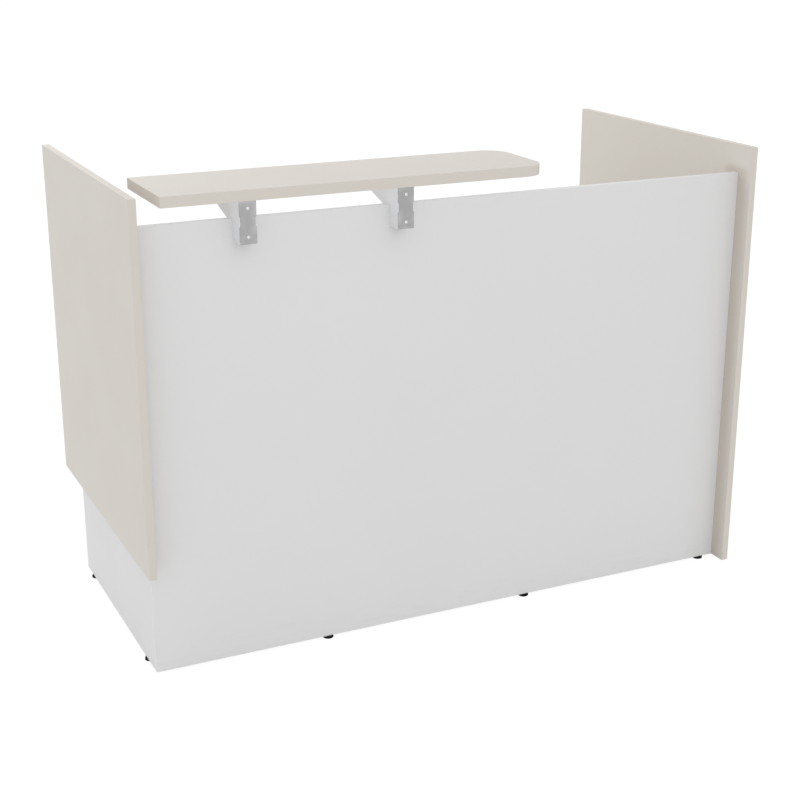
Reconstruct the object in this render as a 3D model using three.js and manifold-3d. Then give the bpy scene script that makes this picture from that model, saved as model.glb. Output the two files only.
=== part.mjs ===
// Reception desk: a white front panel and leg panel between two cream end panels, a worktop on the
// staff side, a raised counter shelf on two folded-steel brackets, and screw-adjustable feet.
// Millimetres, +Z up. X runs from the visitor's left to right, Y from the visitor's side to the staff's.
// The origin is on the floor, under the middle of the desk.

import * as THREE from 'three';
import { mergeVertices } from 'three/addons/utils/BufferGeometryUtils.js';
import Module from 'manifold-3d';

const wasm = await Module();
wasm.setup();

// Overall sizes
const CLEAR_WIDTH = 1600; // between the inner faces of the end panels
const OVERALL_HEIGHT = 1150;
const END_DEPTH = 814; // depth of the end panels
const END_OVERHANG = 50; // end panels and shelf stand this far in front of the front panel
const BOARD = 18; // thickness of the upright panels
const FLOOR_GAP = 7; // from the floor to the panels' lower edges
const LEFT_END_LIFT = 270; // from the floor to the left end panel's lower edge
const LEG_REACH = 659; // from the front panel's face to the leg panel's rear edge

// Worktop
const WORKTOP_HEIGHT = 740;
const WORKTOP_THICKNESS = 25;
const WORKTOP_REAR_INSET = 14; // inside the end panels' rear edges

// Counter shelf
const SHELF_LENGTH = 953;
const SHELF_DEPTH = 256;
const SHELF_THICKNESS = 25;
const SHELF_LEFT_INSET = 51; // from the left end panel's inner face
const SHELF_CORNER_RADIUS = 60; // at the shelf's two right-hand corners
const SHELF_GAP = 46; // from the front panel's upper edge to the shelf

// Shelf brackets
const BRACKET_WIDTH = 40;
const BRACKET_LEFT_INSET = 197; // from the shelf's left end to the first bracket's middle
const BRACKET_PITCH = 382;
const BRACKET_LAP = 50; // hangs this far down the front panel's face
const BRACKET_SHEET = 2;
const BRACKET_WAIST_HEIGHT = 22; // plate's narrow middle, level with the panel's upper edge
const BRACKET_WAIST_DEPTH = 2.5;
const BRACKET_HOLE_INSET = 16; // plate screws from the plate's upper and lower edges
const ARM_HOOK = 9.5; // arm reaches this far down behind the panel
const ARM_TIP_HEIGHT = 5;
const ARM_TIP_INSET = 11; // from the shelf's rear edge
const SHELF_SCREW_FRONT_INSET = 28; // from the shelf's front edge
const SHELF_SCREW_REAR_INSET = 56; // from the shelf's rear edge

// Feet
const FOOT_PAD_RADIUS = 13.5;
const FOOT_PAD_CHAMFER = 1.2;
const FOOT_SOCKET_DEPTH = 3;
const FOOT_SPINDLE_RADIUS = 4;
const FOOT_SPINDLE_SHORTFALL = 2; // from the spindle's tip to the insert's top
const FOOT_INSERT_WALL = 1.7;
const FOOT_INSERT_LENGTH = 30;
const FOOT_INSERT_COLLAR = 0.7; // thickness of the insert's collar under the panel
const FOOT_COLLAR_INSET = 0.5; // collar's edge from the panel's faces
const FRONT_FOOT_END_INSET = 40; // from the right end panel's inner face
const FRONT_FOOT_PITCH = 558.5;
const SIDE_FOOT_REAR_INSET = 61; // from the leg panel's rear edge
const SIDE_FOOT_FRONT_INSET = 67; // from the leg panel's front edge

// Steel angles under the worktop and in the corners
const ANGLE_LEG = 30;
const ANGLE_SHEET = 3;
const FRONT_RAIL_END_INSET = 100; // from the end panels' inner faces
const RIGHT_RAIL_FRONT_INSET = 120; // from the front panel's face
const RIGHT_RAIL_LENGTH = 500;
const RAIL_SCREW_INSET = 60; // wall screws from a rail's ends
const RAIL_TOP_SCREW_INSET = 110; // worktop screws from a rail's ends
const CORNER_ANGLE_HEIGHT = 120;
const CORNER_SCREW_SPREAD = 60; // between a corner angle's two screws
const LEG_SCREW_END_INSET = 120; // end-panel screws from the leg panel's front and rear edges

// Screws
const SCREW_HEAD_RADIUS = 4;
const SCREW_HEAD_HEIGHT = 2;
const SCREW_RADIUS = 2;
const PLATE_SCREW_RADIUS = 2.5;
const PLATE_SCREW_HEAD_HEIGHT = 1.6;
const PLATE_SCREW_TAIL = 6; // upper plate screw stands this far past the arm's front wall
const SCREW_SOCKET_RADIUS = 1.4;
const SCREW_SOCKET_DEPTH = 1;
const SCREW_SKIN = 6; // board left past a screw's tip

// Clearances and facets
const CLEARANCE = 0.3;
const HOLE_START = 1; // a hole's cutter starts this far outside the face
const SCREW_SIDES = 8;
const FOOT_SIDES = 16;
const CORNER_STEPS = 12;
const MERGE_TOLERANCE = 1e-4;

// Places worked out from the sizes
const LEFT = -CLEAR_WIDTH / 2;
const RIGHT = CLEAR_WIDTH / 2;
const DESK_FRONT = -END_DEPTH / 2;
const DESK_REAR = END_DEPTH / 2;
const PANEL_FRONT = DESK_FRONT + END_OVERHANG;
const PANEL_REAR = PANEL_FRONT + BOARD;
const SHELF_UNDERSIDE = OVERALL_HEIGHT - SHELF_THICKNESS;
const PANEL_TOP = SHELF_UNDERSIDE - SHELF_GAP;
const WORKTOP_UNDERSIDE = WORKTOP_HEIGHT - WORKTOP_THICKNESS;
const LEG_REAR = PANEL_FRONT + LEG_REACH;
const LEG_INNER = LEFT + BOARD;
const SHELF_LEFT = LEFT + SHELF_LEFT_INSET;
const SHELF_REAR = DESK_FRONT + SHELF_DEPTH;
const BRACKET_HEIGHT = SHELF_GAP + BRACKET_LAP;
const BRACKET_BOTTOM = SHELF_UNDERSIDE - BRACKET_HEIGHT;
const PLATE_FRONT = DESK_FRONT + PLATE_SCREW_HEAD_HEIGHT;
const ARM_FRONT = PLATE_FRONT + BRACKET_SHEET;
const ARM_TIP = SHELF_REAR - ARM_TIP_INSET;
const RAIL_BOTTOM = WORKTOP_UNDERSIDE - ANGLE_LEG;
const ANGLE_MIDDLE = (ANGLE_SHEET + ANGLE_LEG) / 2;
const BOARD_BITE = BOARD - SCREW_SKIN;
const INSERT_RADIUS = FOOT_SPINDLE_RADIUS + CLEARANCE + FOOT_INSERT_WALL;
const INSERT_TOP = FLOOR_GAP + FOOT_INSERT_LENGTH;
const COLLAR_FOOT = FLOOR_GAP - FOOT_INSERT_COLLAR;
const FOOT_PAD_HEIGHT = COLLAR_FOOT - CLEARANCE;

const X = new THREE.Vector3(1, 0, 0);
const Y = new THREE.Vector3(0, 1, 0);
const Z = new THREE.Vector3(0, 0, 1);

const FINISHES = {
  white: { color: 0xf0f0ef, roughness: 0.45, metalness: 0 },
  cream: { color: 0xdad4c9, roughness: 0.5, metalness: 0 },
  silver: { color: 0xd3d5d6, roughness: 0.4, metalness: 0.6 },
  zinc: { color: 0x9b9d9f, roughness: 0.35, metalness: 0.9 },
  black: { color: 0x121212, roughness: 0.6, metalness: 0 },
};

// Solids and meshes

function toSolid(geometry) {
  geometry.deleteAttribute('normal');
  geometry.deleteAttribute('uv');
  const merged = mergeVertices(geometry, MERGE_TOLERANCE);
  const corners = merged.index.array;
  const triangles = [];
  for (let i = 0; i < corners.length; i += 3) {
    const [a, b, c] = corners.slice(i, i + 3);
    if (a !== b && b !== c && c !== a) triangles.push(a, b, c);
  }
  return new wasm.Manifold(new wasm.Mesh({
    numProp: 3,
    vertProperties: Float32Array.from(merged.attributes.position.array),
    triVerts: Uint32Array.from(triangles),
  }));
}

function toMesh(name, solid, finish) {
  const { vertProperties, triVerts } = solid.getMesh();
  const geometry = new THREE.BufferGeometry();
  geometry.setAttribute('position', new THREE.BufferAttribute(Float32Array.from(vertProperties), 3));
  geometry.setIndex(new THREE.BufferAttribute(Uint32Array.from(triVerts), 1));
  geometry.computeVertexNormals();
  const mesh = new THREE.Mesh(geometry, new THREE.MeshStandardMaterial(FINISHES[finish]));
  mesh.name = name;
  return mesh;
}

function block(x0, x1, y0, y1, z0, z1) {
  const box = new THREE.BoxGeometry(x1 - x0, y1 - y0, z1 - z0);
  return toSolid(box.translate((x0 + x1) / 2, (y0 + y1) / 2, (z0 + z1) / 2));
}

// A solid of revolution: [radius, height] points, with the heights measured from a point along an axis.
function turned(profile, at, axis, sides) {
  const lathe = new THREE.LatheGeometry(profile.map(([r, h]) => new THREE.Vector2(r, h)), sides);
  const turn = new THREE.Quaternion().setFromUnitVectors(Y, axis);
  return toSolid(lathe.applyQuaternion(turn).translate(at.x, at.y, at.z));
}

// An outline of [y, z] points, extruded along X between two places.
function profileAlongX(points, x0, x1) {
  const outline = new THREE.Shape(points.map(([y, z]) => new THREE.Vector2(y, z)));
  const bar = new THREE.ExtrudeGeometry(outline, { depth: x1 - x0, bevelEnabled: false });
  const turn = new THREE.Matrix4().makeBasis(Y, Z, X);
  return toSolid(bar.applyMatrix4(turn).translate(x0, 0, 0));
}

// Screws: the head sits at a point and the shank runs from there along a direction

function screw(name, at, into, length, radius = SCREW_RADIUS, headHeight = SCREW_HEAD_HEIGHT) {
  return { name, at, into, length, radius, headHeight };
}

function screwMesh({ name, at, into, length, radius, headHeight }) {
  const profile = [
    [0, SCREW_SOCKET_DEPTH - headHeight],
    [SCREW_SOCKET_RADIUS, SCREW_SOCKET_DEPTH - headHeight],
    [SCREW_SOCKET_RADIUS, -headHeight],
    [SCREW_HEAD_RADIUS, -headHeight],
    [SCREW_HEAD_RADIUS, 0],
    [radius, 0],
    [radius, length],
    [0, length],
  ];
  return toMesh(name, turned(profile, at, into, SCREW_SIDES), 'zinc');
}

function drill(solid, screws) {
  return screws.reduce((remaining, { at, into, length, radius }) => {
    const hole = radius + CLEARANCE;
    const end = length + CLEARANCE;
    const profile = [[0, -HOLE_START], [hole, -HOLE_START], [hole, end], [0, end]];
    return remaining.subtract(turned(profile, at, into, SCREW_SIDES));
  }, solid);
}

// Levelling feet: a black pad under a spindle that screws into an insert in the panel's lower edge

const middleOf = (low) => low + BOARD / 2;
const sideFootPlaces = {
  rear: LEG_REAR - SIDE_FOOT_REAR_INSET,
  front: PANEL_REAR + SIDE_FOOT_FRONT_INSET,
};
const frontFeet = ['right', 'middle', 'left'].map((place, i) => ({
  name: `foot_front_${place}`,
  at: new THREE.Vector3(RIGHT - FRONT_FOOT_END_INSET - i * FRONT_FOOT_PITCH, middleOf(PANEL_FRONT), 0),
}));
const sideFeet = (side, x) => Object.entries(sideFootPlaces).map(([place, y]) => ({
  name: `foot_${side}_${place}`,
  at: new THREE.Vector3(x, y, 0),
}));
const legFeet = sideFeet('leg', middleOf(LEFT));
const endFeet = sideFeet('end', middleOf(RIGHT));

function footMeshes({ name, at }) {
  const origin = new THREE.Vector3();
  const socket = FOOT_SPINDLE_RADIUS + CLEARANCE;
  const socketFloor = FOOT_PAD_HEIGHT - FOOT_SOCKET_DEPTH;
  const pad = turned([
    [0, 0],
    [FOOT_PAD_RADIUS - FOOT_PAD_CHAMFER, 0],
    [FOOT_PAD_RADIUS, FOOT_PAD_CHAMFER],
    [FOOT_PAD_RADIUS, FOOT_PAD_HEIGHT - FOOT_PAD_CHAMFER],
    [FOOT_PAD_RADIUS - FOOT_PAD_CHAMFER, FOOT_PAD_HEIGHT],
    [socket, FOOT_PAD_HEIGHT],
    [socket, socketFloor],
    [0, socketFloor],
  ], origin, Z, FOOT_SIDES);
  const spindleFoot = socketFloor + CLEARANCE;
  const spindleTip = INSERT_TOP - FOOT_SPINDLE_SHORTFALL;
  const spindle = turned([
    [0, spindleFoot],
    [FOOT_SPINDLE_RADIUS, spindleFoot],
    [FOOT_SPINDLE_RADIUS, spindleTip],
    [0, spindleTip],
  ], origin, Z, FOOT_SIDES);
  const collarRadius = BOARD / 2 - FOOT_COLLAR_INSET;
  const insert = turned([
    [socket, COLLAR_FOOT],
    [collarRadius, COLLAR_FOOT],
    [collarRadius, FLOOR_GAP],
    [INSERT_RADIUS, FLOOR_GAP],
    [INSERT_RADIUS, INSERT_TOP],
    [socket, INSERT_TOP],
    [socket, COLLAR_FOOT],
  ], origin, Z, FOOT_SIDES);
  const foot = new THREE.Group();
  foot.position.copy(at);
  foot.add(toMesh(`${name}_pad`, pad, 'black'));
  foot.add(toMesh(`${name}_spindle`, spindle, 'zinc'));
  foot.add(toMesh(`${name}_insert`, insert, 'zinc'));
  return foot;
}

function boreForFeet(solid, feet) {
  const hole = INSERT_RADIUS + CLEARANCE;
  const end = INSERT_TOP + CLEARANCE;
  const profile = [[0, -HOLE_START], [hole, -HOLE_START], [hole, end], [0, end]];
  const bore = (remaining, { at }) => remaining.subtract(turned(profile, at, Z, FOOT_SIDES));
  return feet.reduce(bore, solid);
}

// Shelf brackets: a folded arm that straddles the front panel, and a waisted plate on the arm's front

const bracketMiddles = { left: SHELF_LEFT + BRACKET_LEFT_INSET };
bracketMiddles.right = bracketMiddles.left + BRACKET_PITCH;

function bracketScrews(side, x) {
  const at = (y, z) => new THREE.Vector3(x, y, z);
  const webUnderside = SHELF_UNDERSIDE - BRACKET_SHEET;
  const shelfBite = BRACKET_SHEET + SHELF_THICKNESS - SCREW_SKIN;
  const upperHole = SHELF_UNDERSIDE - BRACKET_HOLE_INSET;
  const lowerHole = BRACKET_BOTTOM + BRACKET_HOLE_INSET;
  const panelLength = PANEL_FRONT + BOARD_BITE - PLATE_FRONT;
  const upperLength = 2 * BRACKET_SHEET + PLATE_SCREW_TAIL;
  const named = (part) => `${side}_bracket_${part}`;
  const plateScrew = (part, z, length) => screw(
    named(part), at(PLATE_FRONT, z), Y, length, PLATE_SCREW_RADIUS, PLATE_SCREW_HEAD_HEIGHT);
  const shelfScrew = (part, y) => screw(named(part), at(y, webUnderside), Z, shelfBite);
  return {
    upper: plateScrew('upper_screw', upperHole, upperLength),
    panel: plateScrew('panel_screw', lowerHole, panelLength),
    shelf: [
      shelfScrew('shelf_screw_front', DESK_FRONT + SHELF_SCREW_FRONT_INSET),
      shelfScrew('shelf_screw_rear', SHELF_REAR - SHELF_SCREW_REAR_INSET),
    ],
  };
}

function bracketArm(x, { upper, panel, shelf }) {
  const half = BRACKET_WIDTH / 2;
  const outer = profileAlongX([
    [ARM_FRONT, BRACKET_BOTTOM],
    [PANEL_FRONT, BRACKET_BOTTOM],
    [PANEL_FRONT, PANEL_TOP],
    [PANEL_REAR + CLEARANCE, PANEL_TOP],
    [PANEL_REAR + CLEARANCE, PANEL_TOP - ARM_HOOK],
    [ARM_TIP, SHELF_UNDERSIDE - ARM_TIP_HEIGHT],
    [ARM_TIP, SHELF_UNDERSIDE],
    [ARM_FRONT, SHELF_UNDERSIDE],
  ], x - half, x + half);
  const hollow = block(
    x - half + BRACKET_SHEET, x + half - BRACKET_SHEET,
    ARM_FRONT + BRACKET_SHEET, ARM_TIP + HOLE_START,
    BRACKET_BOTTOM - HOLE_START, SHELF_UNDERSIDE - BRACKET_SHEET);
  return drill(outer.subtract(hollow), [upper, panel, ...shelf]);
}

function bracketPlate(x, { upper, panel }) {
  const half = BRACKET_WIDTH / 2;
  const waistLow = PANEL_TOP - BRACKET_WAIST_HEIGHT / 2;
  const waistHigh = PANEL_TOP + BRACKET_WAIST_HEIGHT / 2;
  const plate = block(x - half, x + half, PLATE_FRONT, ARM_FRONT, BRACKET_BOTTOM, SHELF_UNDERSIDE);
  const notches = [-1, 1].map((side) => {
    const inner = x + side * (half - BRACKET_WAIST_DEPTH);
    const outer = x + side * (half + HOLE_START);
    return block(
      Math.min(inner, outer), Math.max(inner, outer),
      PLATE_FRONT - HOLE_START, ARM_FRONT + HOLE_START, waistLow, waistHigh);
  });
  return drill(plate.subtract(notches[0]).subtract(notches[1]), [upper, panel]);
}

// Rails: steel angles that carry the worktop on the front panel and on the right end panel

const FRONT_RAIL_LEFT = LEFT + FRONT_RAIL_END_INSET;
const FRONT_RAIL_RIGHT = RIGHT - FRONT_RAIL_END_INSET;
const RIGHT_RAIL_FRONT = PANEL_FRONT + RIGHT_RAIL_FRONT_INSET;
const RIGHT_RAIL_REAR = RIGHT_RAIL_FRONT + RIGHT_RAIL_LENGTH;
const RAIL_SEAT = WORKTOP_UNDERSIDE - ANGLE_SHEET;
const RAIL_SCREW_LEVEL = WORKTOP_UNDERSIDE - ANGLE_MIDDLE;
const wallScrewLength = ANGLE_SHEET + BOARD_BITE;
const worktopScrewLength = ANGLE_SHEET + WORKTOP_THICKNESS - SCREW_SKIN;

function railScrews(rail, low, high, into, wallAt, topAt) {
  const wall = [low + RAIL_SCREW_INSET, high - RAIL_SCREW_INSET].map((along, i) => screw(
    `${rail}_wall_screw_${i + 1}`, wallAt(along), into, wallScrewLength));
  const top = [low + RAIL_TOP_SCREW_INSET, high - RAIL_TOP_SCREW_INSET].map((along, i) => screw(
    `${rail}_top_screw_${i + 1}`, topAt(along), Z, worktopScrewLength));
  return { wall, top };
}

const frontRailScrews = railScrews(
  'front_rail', FRONT_RAIL_LEFT, FRONT_RAIL_RIGHT, Y.clone().negate(),
  (x) => new THREE.Vector3(x, PANEL_REAR + ANGLE_SHEET, RAIL_SCREW_LEVEL),
  (x) => new THREE.Vector3(x, PANEL_REAR + ANGLE_MIDDLE, RAIL_SEAT));
const rightRailScrews = railScrews(
  'right_rail', RIGHT_RAIL_FRONT, RIGHT_RAIL_REAR, X,
  (y) => new THREE.Vector3(RIGHT - ANGLE_SHEET, y, RAIL_SCREW_LEVEL),
  (y) => new THREE.Vector3(RIGHT - ANGLE_MIDDLE, y, RAIL_SEAT));

function frontRail() {
  const outer = block(
    FRONT_RAIL_LEFT, FRONT_RAIL_RIGHT, PANEL_REAR, PANEL_REAR + ANGLE_LEG, RAIL_BOTTOM, WORKTOP_UNDERSIDE);
  const hollow = block(
    FRONT_RAIL_LEFT - HOLE_START, FRONT_RAIL_RIGHT + HOLE_START,
    PANEL_REAR + ANGLE_SHEET, PANEL_REAR + ANGLE_LEG + HOLE_START,
    RAIL_BOTTOM - HOLE_START, RAIL_SEAT);
  return drill(outer.subtract(hollow), [...frontRailScrews.wall, ...frontRailScrews.top]);
}

function rightRail() {
  const outer = block(
    RIGHT - ANGLE_LEG, RIGHT, RIGHT_RAIL_FRONT, RIGHT_RAIL_REAR, RAIL_BOTTOM, WORKTOP_UNDERSIDE);
  const hollow = block(
    RIGHT - ANGLE_LEG - HOLE_START, RIGHT - ANGLE_SHEET,
    RIGHT_RAIL_FRONT - HOLE_START, RIGHT_RAIL_REAR + HOLE_START,
    RAIL_BOTTOM - HOLE_START, RAIL_SEAT);
  return drill(outer.subtract(hollow), [...rightRailScrews.wall, ...rightRailScrews.top]);
}

// Corner angles: upright steel angles behind the front panel, against a side panel's inner face

function cornerAngle(name, sideFace, inward, middle) {
  const bottom = middle - CORNER_ANGLE_HEIGHT / 2;
  const across = (distance) => sideFace + inward * distance;
  const span = (near, far) => [Math.min(across(near), across(far)), Math.max(across(near), across(far))];
  const screwLevel = (half) => middle + half * CORNER_SCREW_SPREAD / 2;
  const panelScrew = screw(
    `${name}_panel_screw`,
    new THREE.Vector3(across(ANGLE_MIDDLE), PANEL_REAR + ANGLE_SHEET, screwLevel(-1)),
    Y.clone().negate(), wallScrewLength);
  const sideScrew = screw(
    `${name}_side_screw`,
    new THREE.Vector3(across(ANGLE_SHEET), PANEL_REAR + ANGLE_MIDDLE, screwLevel(1)),
    X.clone().multiplyScalar(-inward), wallScrewLength);
  const top = bottom + CORNER_ANGLE_HEIGHT;
  const outer = block(...span(0, ANGLE_LEG), PANEL_REAR, PANEL_REAR + ANGLE_LEG, bottom, top);
  const hollow = block(
    ...span(ANGLE_SHEET, ANGLE_LEG + HOLE_START),
    PANEL_REAR + ANGLE_SHEET, PANEL_REAR + ANGLE_LEG + HOLE_START,
    bottom - HOLE_START, top + HOLE_START);
  return { name, panelScrew, sideScrew, solid: drill(outer.subtract(hollow), [panelScrew, sideScrew]) };
}

const BELOW_WORKTOP = (FLOOR_GAP + RAIL_BOTTOM) / 2;
const ABOVE_WORKTOP = (WORKTOP_HEIGHT + PANEL_TOP) / 2;
const legCorner = cornerAngle('leg_corner_angle', LEG_INNER, 1, BELOW_WORKTOP);
const endCorner = cornerAngle('end_corner_angle', RIGHT, -1, BELOW_WORKTOP);
const upperCorner = cornerAngle('upper_corner_angle', LEFT, 1, ABOVE_WORKTOP);
const corners = [legCorner, endCorner, upperCorner];

// Screws through the leg panel that hold the left end panel

const legScrewLevel = (LEFT_END_LIFT + WORKTOP_UNDERSIDE) / 2;
const legScrewLength = BOARD + BOARD_BITE;
const legScrews = [
  ['front', PANEL_REAR + LEG_SCREW_END_INSET],
  ['rear', LEG_REAR - LEG_SCREW_END_INSET],
].map(([place, y]) => screw(
  `leg_screw_${place}`,
  new THREE.Vector3(LEG_INNER, y, legScrewLevel),
  X.clone().negate(), legScrewLength));

// Boards

const brackets = Object.entries(bracketMiddles).map(([side, x]) => ({
  side,
  x,
  screws: bracketScrews(side, x),
}));

function frontPanel() {
  const board = block(LEFT, RIGHT, PANEL_FRONT, PANEL_REAR, FLOOR_GAP, PANEL_TOP);
  return drill(boreForFeet(board, frontFeet), [
    ...brackets.map(({ screws }) => screws.panel),
    ...frontRailScrews.wall,
    ...corners.map(({ panelScrew }) => panelScrew),
  ]);
}

function leftLegPanel() {
  const board = block(LEFT, LEG_INNER, PANEL_REAR, LEG_REAR, FLOOR_GAP, WORKTOP_UNDERSIDE);
  return drill(boreForFeet(board, legFeet), [legCorner.sideScrew, ...legScrews]);
}

function leftEndPanel() {
  const board = block(LEFT - BOARD, LEFT, DESK_FRONT, DESK_REAR, LEFT_END_LIFT, OVERALL_HEIGHT);
  return drill(board, [upperCorner.sideScrew, ...legScrews]);
}

function rightEndPanel() {
  const board = block(RIGHT, RIGHT + BOARD, DESK_FRONT, DESK_REAR, FLOOR_GAP, OVERALL_HEIGHT);
  return drill(boreForFeet(board, endFeet), [endCorner.sideScrew, ...rightRailScrews.wall]);
}

function worktop() {
  const rear = DESK_REAR - WORKTOP_REAR_INSET;
  const board = block(LEFT, RIGHT, PANEL_REAR, rear, WORKTOP_UNDERSIDE, WORKTOP_HEIGHT);
  return drill(board, [...frontRailScrews.top, ...rightRailScrews.top]);
}

function counterShelf() {
  const right = SHELF_LEFT + SHELF_LENGTH;
  const radius = SHELF_CORNER_RADIUS;
  const outline = new THREE.Shape();
  outline.moveTo(SHELF_LEFT, DESK_FRONT);
  outline.lineTo(right - radius, DESK_FRONT);
  outline.absarc(right - radius, DESK_FRONT + radius, radius, -Math.PI / 2, 0, false);
  outline.lineTo(right, SHELF_REAR - radius);
  outline.absarc(right - radius, SHELF_REAR - radius, radius, 0, Math.PI / 2, false);
  outline.lineTo(SHELF_LEFT, SHELF_REAR);
  const board = new THREE.ExtrudeGeometry(
    outline, { depth: SHELF_THICKNESS, bevelEnabled: false, curveSegments: CORNER_STEPS });
  const solid = toSolid(board.translate(0, 0, SHELF_UNDERSIDE));
  return drill(solid, brackets.flatMap(({ screws }) => screws.shelf));
}

// The desk

const desk = new THREE.Group();
desk.add(
  toMesh('front_panel', frontPanel(), 'white'),
  toMesh('left_leg_panel', leftLegPanel(), 'white'),
  toMesh('left_end_panel', leftEndPanel(), 'cream'),
  toMesh('right_end_panel', rightEndPanel(), 'cream'),
  toMesh('worktop', worktop(), 'cream'),
  toMesh('counter_shelf', counterShelf(), 'cream'),
  toMesh('front_rail', frontRail(), 'silver'),
  toMesh('right_rail', rightRail(), 'silver'),
);
for (const { wall, top } of [frontRailScrews, rightRailScrews]) {
  desk.add(...[...wall, ...top].map(screwMesh));
}
for (const { name, solid, panelScrew, sideScrew } of corners) {
  desk.add(toMesh(name, solid, 'silver'), screwMesh(panelScrew), screwMesh(sideScrew));
}
desk.add(...legScrews.map(screwMesh));
for (const { side, x, screws } of brackets) {
  desk.add(
    toMesh(`${side}_bracket_arm`, bracketArm(x, screws), 'silver'),
    toMesh(`${side}_bracket_plate`, bracketPlate(x, screws), 'zinc'),
    ...[screws.upper, screws.panel, ...screws.shelf].map(screwMesh),
  );
}
desk.add(...[...frontFeet, ...legFeet, ...endFeet].map(footMeshes));

export default desk;
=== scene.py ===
"""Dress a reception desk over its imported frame.

Everything is in metres, in the frame's own axes: +X to the visitor's right, +Y to the staff's side, +Z up.
"""

import logging
import math
from abc import ABC, abstractmethod
from collections.abc import Callable, Iterable, Sequence
from dataclasses import dataclass
from enum import Enum
from functools import cache, reduce
from typing import ClassVar

import bmesh
import bpy
from mathutils import Matrix, Vector


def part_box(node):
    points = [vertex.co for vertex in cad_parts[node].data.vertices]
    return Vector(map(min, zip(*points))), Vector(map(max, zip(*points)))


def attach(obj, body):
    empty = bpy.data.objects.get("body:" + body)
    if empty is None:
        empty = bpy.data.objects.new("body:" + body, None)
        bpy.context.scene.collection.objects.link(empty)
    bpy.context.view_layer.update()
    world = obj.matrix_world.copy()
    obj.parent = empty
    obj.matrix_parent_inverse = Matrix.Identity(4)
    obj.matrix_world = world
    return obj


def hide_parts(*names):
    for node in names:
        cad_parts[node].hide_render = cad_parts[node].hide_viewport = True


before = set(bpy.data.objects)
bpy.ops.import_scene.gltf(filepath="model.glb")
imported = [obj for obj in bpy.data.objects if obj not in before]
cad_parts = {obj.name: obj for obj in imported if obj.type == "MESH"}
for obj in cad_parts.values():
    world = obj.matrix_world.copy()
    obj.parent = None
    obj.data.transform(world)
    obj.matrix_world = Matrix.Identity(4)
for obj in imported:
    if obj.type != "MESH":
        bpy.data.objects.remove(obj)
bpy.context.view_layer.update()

LOG = logging.getLogger("reception_desk")
DESK = "desk"

Pair = tuple[float, float]
Triple = tuple[float, float, float]
Colour = Triple
Rings = Sequence[Sequence[Vector]]
RadiusAt = Callable[[float, float, float], float]
BMesh = bmesh.types.BMesh
Socket = bpy.types.NodeSocket
Outputs = bpy.types.NodeOutputs
SocketValue = float | Triple | Vector | Socket
Values = dict[str | int, SocketValue]
Surface = tuple[Socket, Socket, Socket]

SHARP_ANGLE = math.radians(35)
FULL_TURN = 2 * math.pi
QUARTER = math.pi / 2
HOLE_CLEARANCE = 0.0003
HOLE_SIDES = 24
TOUCH = 0.0001
WEAR_LAYER = "arris"


@cache
def box_of(node: str) -> tuple[Vector, Vector]:
    """Give the lowest and highest corner of one of the frame's nodes, measured once."""
    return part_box(node)


class Axis(Enum):
    """An axis of the frame."""

    X = 0
    Y = 1
    Z = 2

    @property
    def unit(self) -> Vector:
        """Give the axis as a vector of length 1."""
        return self.point(0, 0, 1)

    @property
    def others(self) -> tuple[int, int]:
        """Give the numbers of the two axes that follow it."""
        return (self.value + 1) % len(Axis), (self.value + 2) % len(Axis)

    def point(self, across: float, over: float, along: float) -> Vector:
        """Place a point on this axis and on the two that follow it.

        Args:
            across: Its place on the next axis.
            over: Its place on the axis after that.
            along: Its place on this axis.

        Returns:
            The point in the frame.
        """
        first, second = self.others
        place = Vector((0, 0, 0))
        place[first] = across
        place[second] = over
        place[self.value] = along
        return place

    def turn(self, at: Vector, sign: int = 1) -> Matrix:
        """Give the matrix that stands +Z along this axis, at a point.

        Args:
            at: Where the turned piece's own origin goes.
            sign: 1 to follow the axis, -1 to oppose it.

        Returns:
            The placing matrix.
        """
        spin = Vector((0, 0, 1)).rotation_difference(self.unit * sign)
        return Matrix.Translation(at) @ spin.to_matrix().to_4x4()


# Node trees


class Fade(Enum):
    """How a value runs from one end of its span to the other."""

    EVEN = "LINEAR"
    SOFT = "SMOOTHSTEP"


class Blend(Enum):
    """How two colours are put together."""

    MIX = "MIX"
    MULTIPLY = "MULTIPLY"


# The places of a colour mix's sockets
MIX_SHARE = 0
MIX_FIRST = 6
MIX_SECOND = 7
MIX_RESULT = 2


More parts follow.
